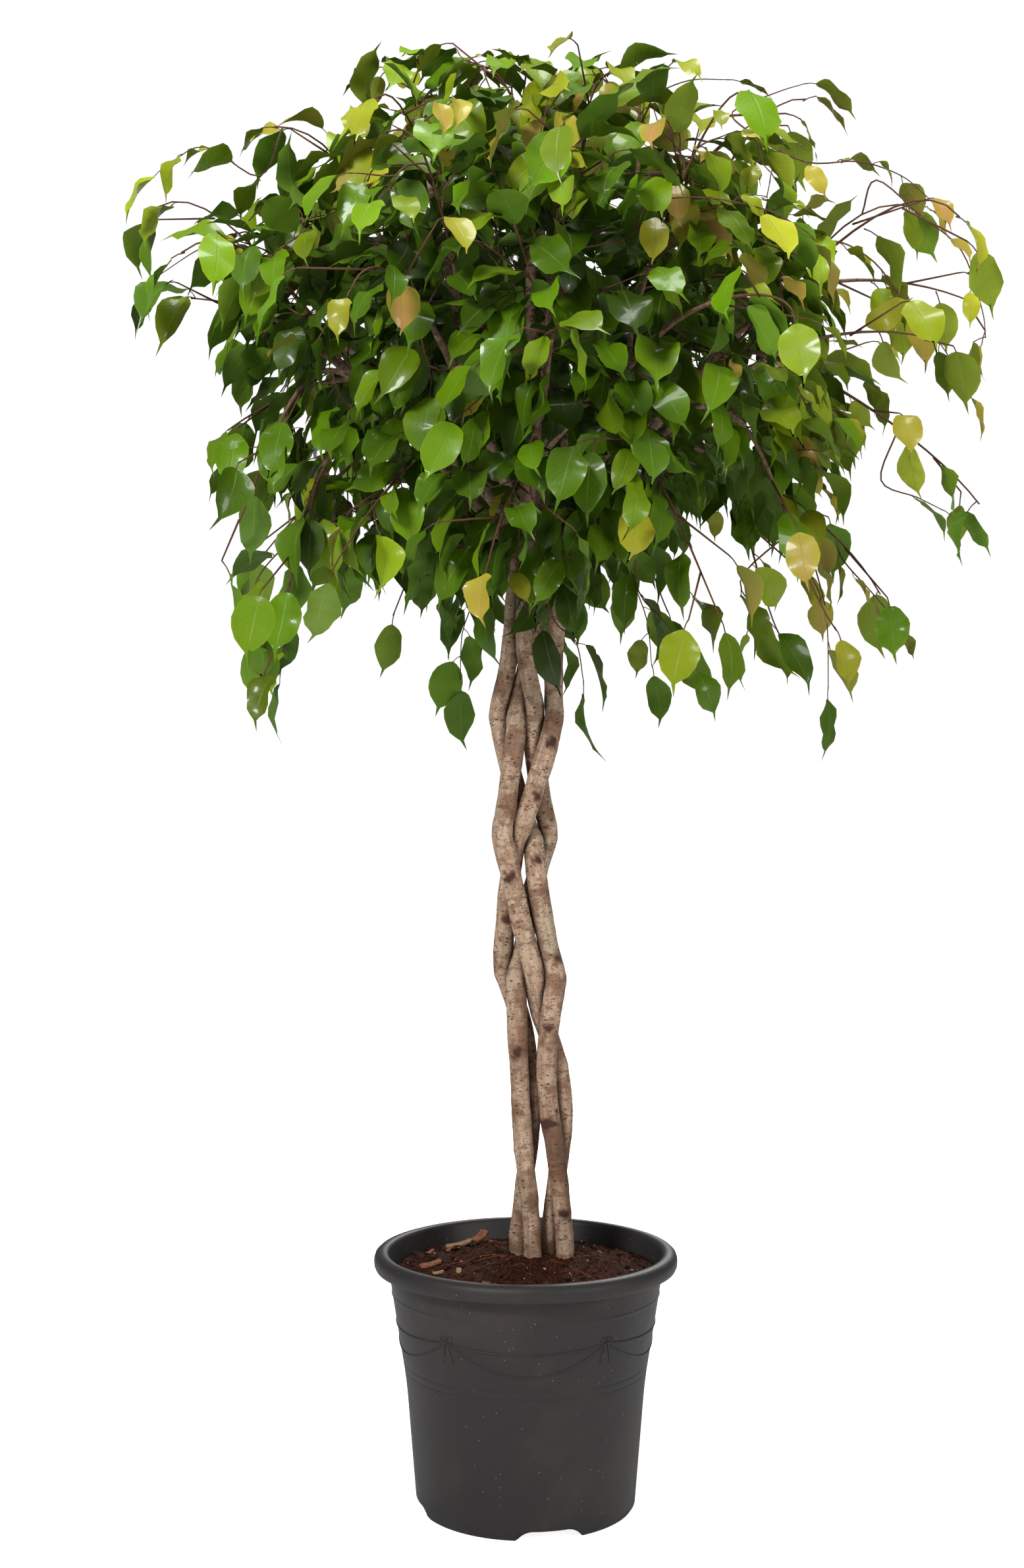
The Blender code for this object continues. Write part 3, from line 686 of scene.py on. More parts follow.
def growLeaf(room, owner, dice, foot, along, side, hang, twig=()):
    for attempt in range(16):
        spin = dice.uniform(-0.5, 0.5) * (1 + attempt * 0.35)
        aside = unit(side * math.cos(spin) + np.cross(along, side) * math.sin(spin))
        petiole = unit(aside + 0.6 * along - np.array([0, 0, 0.45 * hang])) * (wood["petiole"] + 2.5)
        way = unit(0.6 * aside + 0.45 * along + np.array([0, 0, -hang * dice.uniform(0.9, 1.5)]))
        length = dice.uniform(*wood["leafLength"]) * (1 if attempt < 8 else 0.88)
        width = length * wood["leafWidth"] * dice.uniform(0.92, 1.08)
        up = unit(np.array([0, 0, 0.8]) + 0.7 * aside + np.array([dice.uniform(-0.5, 0.5) for _ in range(3)]))
        if abs(up.dot(way)) > 0.85 or stalkFolds(list(twig) + [foot, foot + petiole], way):
            continue
        centres, radii = leafBalls(foot, petiole, way, length, width)
        if beyondOutline(centres, np.minimum(radii, 4)) > 0:
            continue
        if room.spare(centres, radii, owner, True) > wood["keepApart"]:
            room.add(centres, radii, owner, True)
            return foot, petiole, up, way, length, None
    return None


def boughLine(room, owner, dice, start, way, tip):
    reach = np.linalg.norm(tip - start)
    out = unit((tip - start) * (1, 1, 0) + (1e-6, 0, 0))
    droop = min(1.2, max(0.25, (1450 - tip[2]) / 260))
    best = None
    for attempt in range(60):
        sway = np.array([dice.uniform(-1, 1) for _ in range(3)]) * (0.2 + 0.01 * attempt)
        arrive = unit(out * 0.8 - np.array([0, 0, droop]) + sway) * reach * dice.uniform(0.7, 1.1)
        leave = way * reach * dice.uniform(0.5, 1.15)
        line = hermite(start, tip, leave, arrive, 5)
        centres, radii = balls(line[1:], np.full(len(line) - 1, 3.0))
        spare = room.spare(centres, radii, owner, False)
        worth = min(spare, 12) - max(0, beyondOutline(line, 6))
        if best is None or worth > best[0]:
            best = (worth, line, hermite(start, tip, leave, arrive, 17))
        if worth >= 12:
            break
    return best[1:]


def growAxis(room, owner, seat):
    point, way, girth, tip = seat
    line, fine = boughLine(room, owner, random.Random(4100 + owner), point + way * 0.3, way, tip)
    radii = np.linspace(girth, wood["tipGirth"], len(line))
    room.add(*balls(line, radii), owner, False)
    return line, fine, girth


def growBough(room, owner, line):
    # the leaves and side twigs that the solid bough has
    dice = random.Random(700 + owner)
    leaves, twigs = [], []
    reach = np.linalg.norm(np.diff(line, axis=0), axis=1).sum()
    for k, share in enumerate((0.4, 0.68) if reach < 250 else (0.3, 0.54, 0.78)):
        here, along = pointOn(line, share)
        flank = unit(np.cross(along, (0, 0, 1)) * (1 if (k + owner) % 2 else -1))
        for _ in range(24):
            aim = unit(0.8 * along + flank * dice.uniform(0.5, 1.0) + np.array([0, 0, dice.uniform(-0.3, 0.5)]))
            size = dice.uniform(45, 95)
            end = here + aim * size
            centres, sizes = balls([here + aim * 8, end], (1.6, 1.3))
            if room.spare(centres, sizes, owner, False) <= wood["keepApart"]:
                continue
            leaf = growLeaf(room, owner, dice, end, aim, unit(flank + 0.8 * aim), 1.0, [here])
            if leaf:
                room.add(centres, sizes, owner, False)
                leaves.append(leaf)
                twigs.append(np.array([here, end]))
                break
    outward = unit(line[-1] - line[-2])
    aside = unit(outward + 0.3 * np.cross(outward, (0.2, 0.3, 0.9)))
    feet = [(line[-1] - outward * 4, outward, aside, 1.0)]
    for share in (0.5,) if reach < 250 else (0.42, 0.66):
        here, along = pointOn(line, share)
        feet.append((here, along, unit(np.cross(along, (0, 0, 1))) * dice.choice((-1, 1)), 0.9))
    for foot, along, side, hang in feet:
        leaf = growLeaf(room, owner, dice, foot, along, side, hang)
        if leaf:
            leaves.append(leaf)
    return leaves, twigs


lines = plaitLines()
stems = woodyFrames(lines)
room = Room()
for owner, (tubes, _) in enumerate(stems.values()):
    for line, radii, _ in tubes:
        room.add(*balls(line, radii), owner, False)
seats = [seat for _, some in stems.values() for seat in some]
axes = [growAxis(room, wood["firstOwner"] + k, seat) for k, seat in enumerate(seats)]
boughs = []
for k, (line, fine, girth) in enumerate(axes):
    leaves, twigs = growBough(room, wood["firstOwner"] + k, line)
    boughs.append({"axis": fine, "girth": girth, "leaves": leaves, "twigs": twigs, "shoots": []})
print("plait and crown laid out:", len(boughs), "boughs,", sum(len(b["leaves"]) for b in boughs), "leaves")


# fill of shoots and leaves between those
# outline of the dense part of the crown: height, left, right
mass = [
    (840, -190, 175), (877, -200, 210), (939, -212, 260), (1025, -240, 320), (1099, -275, 335), (1186, -300, 335),
    (1247, -325, 330), (1309, -312, 310), (1340, -282, 300), (1370, -262, 262), (1401, -230, 168),
    (1426, -165, 135), (1457, -125, 125), (1478, -95, 95),
]

fill = {
    "seed": 9000,
    "shoots": 620,
    "apart": 38,
    "layer": 85,
    "innerShare": 0.5,
    "reach": (26, 190),
    "spacing": 17,
    "crowding": 0.36,
    "centre": (30, 0, 1010),
    "length": (48, 73),
    # across, lowest height of a shoot there
    "underside": [
        (-300, 905), (-240, 915), (-190, 940), (-133, 962), (-60, 930), (20, 905), (80, 958), (136, 1005),
        (180, 1050), (260, 1025), (340, 1025), (420, 1040)],
}


def massDepth(point):
    # how deep a point lies in the dense part, which is round in plan and lumpy outside
    low, left, right = np.array(mass, float).T
    halves = (right - left) / 2
    middle = np.interp(point[2], low, (left + right) / 2)
    far = math.hypot(point[0] - middle, point[1])
    top = np.interp(far, halves[:4:-1], low[:4:-1])
    lump = 26 * noise.noise(Vector(point) / 95)
    return min(np.interp(point[2], low, halves) - far, 0.8 * (top - point[2])) + lump


def underside(point):
    across, low = np.array(fill["underside"], float).T
    return float(np.interp(point[0], across, low))


def shootTargets(dice):
    kept = []
    for _ in range(60000):
        point = np.array([dice.uniform(-430, 490), dice.uniform(-408, 408), dice.uniform(820, 1480)])
        depth, chance = massDepth(point), dice.random()
        if depth < 20 or point[2] < underside(point) or (depth > fill["layer"] and chance > fill["innerShare"]):
            continue
        if kept and min(np.linalg.norm(np.array(kept) - point, axis=1)) < fill["apart"]:
            continue
        kept.append(point)
        if len(kept) == fill["shoots"]:
            break
    return kept


def outwardAt(point):
    away = point - np.array(fill["centre"], float)
    away[2] = max(away[2], -60) * 1.1
    return unit(away)


def beyondBox(centres, reach):
    reach = np.reshape(reach, (-1, 1))
    return float(np.max([boxLow - centres + reach, centres + reach - boxHigh]))


def fillLeaf(owner, dice, foot, along, side, hang=1.0, crowding=None, slack=0, tries=7, youth=None):
    # one more leaf, hanging with its face outwards
    for attempt in range(tries):
        spin = dice.uniform(-0.6, 0.6) * (1 + attempt * 0.3)
        aside = unit(side * math.cos(spin) + np.cross(along, side) * math.sin(spin))
        outward = outwardAt(foot)
        petiole = unit(aside + 0.5 * along - np.array([0, 0, 0.3 * hang])) * dice.uniform(9, 14)
        way = unit(0.5 * aside + 0.35 * along + 0.4 * outward + np.array([0, 0, -hang * dice.uniform(0.35, 1.4)]))
        up = unit(0.7 * outward + np.array([0, 0, 0.5]) + 0.3 * aside
                  + np.array([dice.uniform(-0.9, 0.9) for _ in range(3)]))
        length = dice.uniform(*fill["length"])
        if abs(up.dot(way)) > 0.88:
            continue
        centres, radii = leafBalls(foot, petiole, way, length, 0.5 * length)
        if beyondOutline(centres, np.minimum(radii, 2)) > slack or beyondBox(centres, radii + 3) > 0:
            continue
        if slack == 0 and centres[:, 2].min() < underside(foot) - 48:
            continue
        if room.crowding(centres, radii, fill["crowding"] if crowding is None else crowding) > 0:
            room.add(centres, radii, owner, True)
            return foot, petiole, up, way, length, youth
    return None


def growShoot(owner, dice, start, along, target):
    # a thin side shoot to the target, with leaves by turns on its two sides
    reach = np.linalg.norm(target - start)
    outward = outwardAt(target)
    down = np.array([0, 0, -1.0])
    leave = unit(0.8 * along + 0.7 * unit(target - start)) * reach * 0.8
    arrive = unit(0.7 * outward + 0.6 * down * dice.uniform(0.4, 1.3) + 0.4 * unit(target - start)) * reach * 0.7
    line = hermite(start, target, leave, arrive, 7)
    run = np.concatenate([[0], np.cumsum(np.linalg.norm(np.diff(line, axis=0), axis=1))])
    leaves, last = [], 0
    at, turn = run[-1] - 1, dice.choice((-1, 1))
    while at > 0.22 * run[-1]:
        foot = np.array([np.interp(at, run, line[:, k]) for k in range(3)])
        ahead = np.array([np.interp(min(at + 4, run[-1]), run, line[:, k]) for k in range(3)])
        before = np.array([np.interp(at - 4, run, line[:, k]) for k in range(3)])
        way = unit(ahead - before)
        flank = unit(np.cross(way, outward) + 1e-6)
        side = unit(way + 0.2 * flank) if at > run[-1] - 2 else flank * turn
        leaf = fillLeaf(owner, dice, foot, way, side)
        if leaf:
            leaves.append(leaf)
            last = max(last, at + 2)
        turn = -turn
        at -= fill["spacing"] * dice.uniform(0.8, 1.2)
    if leaves:  # the shoot ends at its last leaf
        at = np.linspace(0, min(last, run[-1]), 7)
        line = np.column_stack([np.interp(at, run, line[:, k]) for k in range(3)])
        room.add(*balls(line[1:], np.full(len(line) - 1, 1.2), 12), owner, False)
    return line, leaves


def trimAxis(bough):
    # a bough ends at its last leaf or shoot
    points = balls(bough["axis"], np.ones(len(bough["axis"])), 3)[0]
    held = [leaf[0] for leaf in bough["leaves"]] + [shoot[0] for shoot in bough["shoots"]]
    held += [twig[0] for twig in bough["twigs"]]
    near = [int(far.argmin()) for far in (np.linalg.norm(points - foot, axis=1) for foot in held) if far.min() < 8]
    end = min(len(points), max(near) + 2) if near else len(points)
    bough["axis"] = points[:end]


def fillCrown():
    dice = random.Random(fill["seed"])
    hosts, ways, owners = [], [], []
    for k, bough in enumerate(boughs):
        points = balls(bough["axis"], np.ones(len(bough["axis"])), 8)[0]
        hosts += list(points[2:])
        ways += [unit(w) for w in np.gradient(points, axis=0)[2:]]
        owners += [k] * (len(points) - 2)
    for trailer in trailers:
        growTrailer(dice, hosts, owners, *trailer)
    targets = shootTargets(dice)
    print("places for shoots:", len(targets))
    nearest = [np.linalg.norm(np.array(hosts) - t, axis=1).min() for t in targets]
    for index in np.argsort(nearest):
        target = targets[index]
        toTarget = target - np.array(hosts)
        far = np.linalg.norm(toTarget, axis=1)
        lean = (toTarget * np.array(ways)).sum(1) / far.clip(1e-6)
        cost = far * (1.7 - 0.7 * lean) + np.where((far < fill["reach"][0]) | (far > fill["reach"][1]), 1e4, 0)
        best = int(cost.argmin())
        if cost[best] > 5e3:
            continue
        k = owners[best]
        line, leaves = growShoot(wood["firstOwner"] + k, dice, hosts[best], ways[best], target)
        if not leaves:
            continue
        boughs[k]["shoots"].append(line)
        boughs[k]["leaves"] += leaves
        for step in (2, 3, 4):
            hosts.append(line[step])
            ways.append(unit(line[step + 1] - line[step - 1]))
            owners.append(k)
    for k, bough in enumerate(boughs):  # leaves straight on the boughs' outer halves
        points = balls(bough["axis"], np.ones(len(bough["axis"])), 23)[0]
        for n, (here, ahead) in enumerate(zip(points, points[1:])):
            if n >= 0.35 * len(points) and (n % 5 == 0 or (massDepth(here) > 0 and here[2] > underside(here))):
                way = unit(ahead - here)
                flank = unit(np.cross(way, outwardAt(here)) + 1e-6) * (-1) ** n
                leaf = fillLeaf(wood["firstOwner"] + k, dice, here, way, flank)
                if leaf:
                    bough["leaves"].append(leaf)
        end, way = bough["axis"][-1], unit(bough["axis"][-1] - bough["axis"][-2])
        if min(np.linalg.norm(leaf[0] - end) for leaf in bough["leaves"]) > 12:  # no bare tip
            leaf = fillLeaf(wood["firstOwner"] + k, dice, end - way * 3, way, unit(way + 0.1), 0.8, 0.05, 12, 60)
            if leaf:
                bough["leaves"].append(leaf)
            else:
                trimAxis(bough)


# long thin shoots that trail out of the crown: points in mm, share where leaves begin, leaf gap, share of young leaves
trailers = [
    ([(355, -20, 1344), (400, -24, 1306), (440, -26, 1271), (462, -20, 1214), (467, -16, 1185)], 0.25, 58, 0.5),
    ([(306, -60, 1271), (345, -64, 1249), (378, -62, 1206), (412, -60, 1168), (438, -56, 1128)], 0.15, 48, 0.6),
    ([(288, 10, 1372), (342, 6, 1371), (385, 4, 1356), (412, 4, 1334)], 0.1, 33, 0.6),
    ([(130, -30, 1428), (165, -34, 1440), (203, -36, 1440)], 0.9, 40, 0.0),
    ([(215, 30, 1430), (262, 34, 1452), (292, 36, 1462)], 0.85, 60, 1.0),
    ([(-270, -20, 1348), (-325, -26, 1376), (-368, -28, 1352)], 0.3, 26, 0.0),
    ([(-290, 10, 1300), (-335, 8, 1282), (-374, 6, 1256)], 0.85, 30, 0.0),
    ([(-250, -30, 1078), (-282, -34, 1070)], 0.8, 40, 0.3),
    ([(-248, -60, 960), (-268, -66, 930), (-262, -66, 902)], 0.3, 34, 0.0),
    ([(-240, 20, 915), (-248, 22, 880), (-254, 22, 845)], 0.5, 30, 0.0),
    ([(22, -95, 905), (48, -92, 872), (56, -90, 832)], 0.5, 42, 0.0),
    ([(-8, -110, 925), (12, -102, 890)], 0.8, 40, 0.0),
    ([(-50, -100, 950), (-42, -98, 925)], 0.8, 40, 0.0),
    ([(108, -70, 935), (138, -74, 890), (165, -76, 850)], 0.2, 30, 0.0),
    ([(215, -40, 935), (248, -44, 890)], 0.3, 28, 0.1),
    ([(277, -60, 975), (294, -62, 920), (299, -62, 884), (300, -60, 828)], 0.35, 44, 0.9),
    ([(330, 30, 965), (362, 34, 930), (388, 36, 900)], 0.3, 34, 0.7),
    ([(360, -20, 1040), (396, -24, 1022), (420, -24, 1010)], 0.5, 30, 0.1),
    ([(92, -236, 1226), (106, -252, 1249), (150, -262, 1254), (212, -262, 1243), (250, -262, 1222)], 0.7, 24, 0.5),
    ([(40, 300, 1290), (60, 360, 1275), (66, 392, 1225)], 0.2, 30, 0.5),
    ([(-180, 290, 1180), (-215, 340, 1150), (-232, 362, 1090)], 0.2, 32, 0.4),
    ([(250, 240, 1130), (300, 282, 1090), (322, 296, 1030)], 0.2, 32, 0.6),
    ([(-60, 240, 960), (-72, 262, 905), (-74, 266, 850)], 0.2, 30, 0.1),
    ([(120, 210, 975), (140, 232, 920), (146, 238, 868)], 0.2, 32, 0.3),
]


def splineOf(points, each=5):
    # a smooth line through the points
    points = np.array(points, float)
    slopes = np.gradient(points, axis=0)
    parts = [hermite(a, b, m, n, each + 1)[:-1] for a, b, m, n in zip(points, points[1:], slopes, slopes[1:])]
    return np.vstack(parts + [points[-1:]])


def growTrailer(dice, hosts, owners, path, begin, gap, youth):
    reach = np.array(path[0], float) - np.array(hosts)
    far = np.linalg.norm(reach, axis=1)
    lean = reach @ unit(np.array(path[1], float) - path[0]) / far.clip(1e-6)
    best = int((far * (1.4 - 0.4 * lean)).argmin())
    k = owners[best]
    line = splineOf([hosts[best]] + path)
    run = np.concatenate([[0], np.cumsum(np.linalg.norm(np.diff(line, axis=0), axis=1))])
    at, turn = run[-1] - 1, 1
    while at > begin * run[-1] or at == run[-1] - 1:
        foot = np.array([np.interp(at, run, line[:, c]) for c in range(3)])
        before = np.array([np.interp(at - 6, run, line[:, c]) for c in range(3)])
        way = unit(foot - before)
        flank = unit(np.cross(way, outwardAt(foot)) + 1e-6)
        side = unit(way + 0.2 * flank) if at > run[-1] - 2 else flank * turn
        leaf = fillLeaf(wood["firstOwner"] + k, dice, foot, way, side, 1.0, 0.12, 60, 40, youth)
        if leaf:
            boughs[k]["leaves"].append(leaf)
        turn = -turn
        at -= gap * dice.uniform(0.85, 1.15)
    boughs[k]["shoots"].append(line)
    room.add(*balls(line[1:], np.full(len(line) - 1, 1.2), 12), wood["firstOwner"] + k, False)


fillCrown()
print("crown filled:", sum(len(b["shoots"]) for b in boughs), "shoots,", sum(len(b["leaves"]) for b in boughs), "leaves")


# mesh helpers
def startMesh():
    bm = bmesh.new()
    for name in ("place", "tone"):
        bm.verts.layers.float_vector.new(name)
    return bm


def layersOf(bm):
    return bm.verts.layers.float_vector["place"], bm.verts.layers.float_vector["tone"]


def putPiece(name, bm, mats, replaced=()):
    mesh = bpy.data.meshes.new(name)
    bm.to_mesh(mesh)
    bm.free()
    for key in mats:
        mesh.materials.append(materials[key])
    piece = bpy.data.objects.new(name, mesh)
    bpy.context.scene.collection.objects.link(piece)
    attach(piece, "root")
    if replaced:
        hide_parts(*replaced)
    return piece


def sweep(bm, line, radii, sides, tone, material, first=None, swell=None, start=0.0):
    # a closed tube: one circle, extruded ring by ring; the line is in mm
    place, toneLayer = layersOf(bm)
    line = np.asarray(line, float)
    along = np.gradient(line, axis=0)
    along /= np.linalg.norm(along, axis=1)[:, None]
    along[0] = unit(line[1] - line[0]) if first is None else first
    run = np.concatenate([[0], np.cumsum(np.linalg.norm(np.diff(line, axis=0), axis=1))])
    side = unit(np.cross(along[0], (0.31, 0.95, 0.12)))
    ring = bmesh.ops.create_circle(bm, cap_ends=True, segments=sides, radius=1)["verts"]
    faces = list(ring[0].link_faces)
    edges = list(faces[0].edges)
    for vert in ring:
        vert[place] = vert.co
    last = 1.0
    for k, (here, way, radius) in enumerate(zip(line, along, radii)):
        if k:
            made = bmesh.ops.extrude_edge_only(bm, edges=edges)["geom"]
            ring = [g for g in made if isinstance(g, bmesh.types.BMVert)]
            known = set(ring)
            edges = [g for g in made if isinstance(g, bmesh.types.BMEdge) and known.issuperset(g.verts)]
            faces += [g for g in made if isinstance(g, bmesh.types.BMFace)]
        side = unit(side - way * side.dot(way))
        other = np.cross(way, side)
        radius = float(radius) * mm
        for vert in ring:
            c, s = vert[place][0] / last, vert[place][1] / last
            out = c * side + s * other
            point = here * mm + radius * out
            shade = tone(run[k] / run[-1]) if callable(tone) else tone
            if swell:
                grown, shade = swell(point, out, shade)
                point = point + grown * out
            vert.co = point
            vert[place] = (c * radius, s * radius, (start + run[k]) * mm)
            vert[toneLayer] = shade
        last = radius
    cap = bmesh.ops.contextual_create(bm, geom=edges)["faces"]
    faces += cap
    for face in faces:
        face.material_index = material
        face.smooth = True
    bmesh.ops.recalc_face_normals(bm, faces=faces)
    return faces


# leaves
leafShape = {
    "kinds": 14,
    "width": 0.57,
    "thick": 0.010,
    # share along the blade, half-width
    "stations": [
        (0, 0.02), (0.03, 0.14), (0.09, 0.27), (0.18, 0.395), (0.30, 0.475), (0.44, 0.50), (0.58, 0.455),
        (0.70, 0.335), (0.785, 0.165), (0.84, 0.055), (1, 0.003)],
}


def leafKind(index):
    # a blade one unit long from the origin along Y, its upper face towards Z
    dice = random.Random(60 + index)
    droop = dice.uniform(0.08, 0.36)
    fold, arch = dice.uniform(-0.15, 0.55), dice.uniform(0.0, 0.07)
    bend = dice.uniform(-0.12, 0.12)
    wave, turns, phase = dice.uniform(0.02, 0.085), dice.uniform(1.2, 2.3), dice.uniform(0, 6.28)
    slip, hook = dice.uniform(0.3, 1.4), dice.uniform(-0.07, 0.07)
    rows = leafShape["stations"]
    bm = startMesh()
    place, _ = layersOf(bm)
    bmesh.ops.create_grid(bm, x_segments=2, y_segments=len(rows) - 1, size=1)
    for vert in bm.verts:
        v = vert.co.x
        u, half = rows[round((vert.co.y + 1) / 2 * (len(rows) - 1))]
        tip = max(0.0, u - 0.75) / 0.25
        x = v * half * leafShape["width"] + bend * (u * u - 0.3 * u) + hook * tip * tip
        lift = fold * abs(v) * half * leafShape["width"] + arch * math.sin(3.1 * u)
        ripple = wave * v * v * math.sin(6.283 * turns * u + phase + (slip if v > 0 else 0)) * min(1, 4 * half)
        vert.co = (x, u, lift + ripple - droop * u * u - 0.035 * tip * tip)
        vert[place] = (u, v, 0)
    rim = [edge for edge in bm.edges if edge.is_boundary]
    for edge in rim:
        edge.smooth = False
    bmesh.ops.triangulate(bm, faces=bm.faces)  # both sides bend along the same lines
    under = bmesh.ops.duplicate(bm, geom=bm.verts[:] + bm.edges[:] + bm.faces[:])["geom"]
    underFaces = [g for g in under if isinstance(g, bmesh.types.BMFace)]
    bmesh.ops.reverse_faces(bm, faces=underFaces)
    for face in underFaces:
        face.material_index = 1
    for vert in (g for g in under if isinstance(g, bmesh.types.BMVert)):
        if not vert.is_boundary:
            vert.co.z -= leafShape["thick"]
    bmesh.ops.remove_doubles(bm, verts=[v for v in bm.verts if v.is_boundary], dist=0.002)
    bmesh.ops.dissolve_degenerate(bm, edges=bm.edges, dist=0.001)
    for face in bm.faces:
        face.smooth = True
    mesh = bpy.data.meshes.new("leafKind")
    bm.to_mesh(mesh)
    bm.free()
    return mesh


def petioleKind():
    bm = startMesh()
    sweep(bm, [(0, 0, 0), (0, 500, 60), (0, 1030, 0)], (56, 42, 44), 5, (0.75, 0, 0), 2)
    mesh = bpy.data.meshes.new("petioleKind")
    bm.to_mesh(mesh)
    bm.free()
    return mesh


def addCopy(bm, kind, columns, origin, tone, seed):
    # a copy of a kind, its X, Y and Z laid along the columns, in mm
    place, toneLayer = layersOf(bm)
    start = len(bm.verts)
    bm.from_mesh(kind)
    bm.verts.ensure_lookup_table()
    new = bm.verts[start:]
    turn = Matrix([[columns[c][r] * mm for c in range(3)] + [origin[r] * mm] for r in range(3)] + [[0, 0, 0, 1]])
    bmesh.ops.transform(bm, matrix=turn, verts=new)
    for vert in new:
        vert[toneLayer] = tone
        if seed is not None:
            vert[place] = (vert[place][0], vert[place][1], seed)


ages = {
    "seed": 5100,
    "mature": (0.16, 0.55),
    "rightSide": 0.42,
    # inner: how much older and darker green deep leaves are, partly a real shade-leaf colour and partly painted shade
    "inner": 0.16,
    "youngShare": 0.30,
    "newShare": 0.035,
    "solidLeaf": 0.85,
}


def leafTone(dice, foot, youth):
    # age, brightness and salmon tint of one leaf, from where it grows; the brightness is partly random and partly
    # painted light and shade: darker deep in the crown and low down, lighter at the top and the right
    x, _, z = foot
    right = min(1, max(0, (x - 110) / 200))
    deep = min(1, max(0, massDepth(foot) / 110))
    high = min(1, max(0, (z - 1180) / 150))
    # deep leaves are made older and darker green, partly as painted shade inside the crown
    age = dice.uniform(*ages["mature"]) + ages["rightSide"] * right * dice.uniform(0.1, 1.2) - ages["inner"] * deep
    age += 0.26 * high * dice.uniform(0.3, 1)
    # painted shade: leaves deep in the crown get a darker light value
    chance, tint, light = dice.random(), dice.random(), dice.random() * (1 - 0.7 * deep)
    outer = min(1, max(0, 1.2 - deep * 1.4))
    low = min(1, max(0, (1010 - z) / 120))
    # painted light at the top and the right, painted shade low down
    light += (0.04 + 0.26 * high + 0.16 * right - 0.16 * low) * (1 - deep)
    share = (ages["youngShare"] * (0.35 + 1.0 * high + 0.6 * right) * outer) if youth is None else youth
    salmon = 0.0
    if chance < share:
        age = dice.uniform(0.62, 1.0)
        salmon = dice.uniform(0.25, 0.7) if tint < 0.42 else 0.0
        light = dice.uniform(0.15, 0.65)
        if tint < ages["newShare"] / ages["youngShare"]:
            salmon = dice.uniform(0.7, 1.0)
    return min(1.0, max(0.0, age)), light, salmon


leafKinds = [leafKind(index) for index in range(leafShape["kinds"])]
petiole = petioleKind()


def addLeaf(bm, dice, leaf):
    foot, stalk, up, way, length, youth = leaf
    tone = leafTone(dice, foot, youth)
    if tone[0] > 0.66:
        length = length * dice.uniform(0.55, 0.92)  # young leaves are smaller
    across = unit(np.cross(way, up))
    up = np.cross(across, way)
    wide = dice.uniform(0.78, 1.1)
    kind = leafKinds[dice.randrange(len(leafKinds))]
    flip = dice.choice((-1, 1))
    base = foot + stalk
    addCopy(bm, kind, (across * length * wide, way * length, up * length), base, tone, dice.random())
    reach = np.linalg.norm(stalk)
    ahead = stalk / reach
    lift = unit(np.cross(np.cross(ahead, np.array([0, 0, 1.0]) + 1e-4), ahead) + 1e-6)
    side = np.cross(ahead, lift)
    addCopy(bm, petiole, (side * reach, ahead * reach, lift * reach), foot, (0.75, 0, 0), None)


def makeBough(index, bough):
    bm = startMesh()
    dice = random.Random(ages["seed"] + index)
    axis = bough["axis"]
    taper = (1 - np.linspace(0, 1, len(axis))) ** 1.6
    sweep(bm, axis, 0.8 + (bough["girth"] - 0.8) * taper, 8, lambda share: (0.6 + 0.4 * share, 0, 0), 2)
    for twig in bough["twigs"]:
        sweep(bm, np.array([twig[0], twig.mean(0), twig[1]]), (1.2, 1.0, 0.8), 5, (0.9, 0, 0), 2)
    for shoot in bough["shoots"]:
        sweep(bm, shoot, np.linspace(1.05, 0.5, len(shoot)), 5, lambda share: (0.75 + 0.25 * share, 0, 0), 2)
    for leaf in bough["leaves"]:
        if len(leaf) == 6 and leaf[5] is None and leaf[4] > 70:
            leaf = leaf[:4] + (leaf[4] * ages["solidLeaf"], None)
        addLeaf(bm, dice, leaf)
    for vert in bm.verts:  # nothing passes the solids' box
        vert.co = np.clip(vert.co, boxLow * mm + 0.0003, boxHigh * mm - 0.0003)
    return putPiece(f"leafy_bough_{index + 1:02d}", bm, ("leafTop", "leafUnder", "bark"), (f"bough_{index + 1:02d}",))


for index, bough in enumerate(boughs):
    makeBough(index, bough)
print("leafy boughs made")


# plaited stems
stemLook = {
    "sides": 30,
    "rings": 3,
    "lumps": 0.0013,
    "thicker": 0.9,
    # reach in mm of the painted shade beside another stem
    "crevice": 8.0,
    "knotSize": 1.65,
    # stem, height in mm, how far it turns to the right of the front, size in mm
    "knots": [
        ("left", 297, 0.2, 4.2), ("left", 388, -0.35, 6.6), ("left", 485, -0.2, 3.6), ("left", 555, 0.5, 4.0),
        ("left", 655, 0.2, 3.6), ("front", 459, -0.2, 4.0), ("right", 594, 0.1, 4.2), ("right", 720, 0.5, 3.8),
        ("right", 773, 0.3, 4.0), ("back", 638, -0.2, 4.0), ("front", 749, -0.6, 3.2), ("back", 520, 2.6, 4.2),
        ("front", 620, 2.9, 4.4), ("right", 330, 3.3, 4.4), ("back", 700, 1.9, 3.8),
    ],
}


def knotPoints(name):
    points = []
    for stem, height, turn, size in stemLook["knots"]:
        if stem == name:
            line = lines[name]
            here = np.array([np.interp(height, line[:, 2], line[:, k]) for k in range(3)])
            reach = girthAt(height) * np.array([math.sin(turn), -math.cos(turn), 0])
            points.append(((here + reach) * mm, size * stemLook["knotSize"] * mm))
    return points


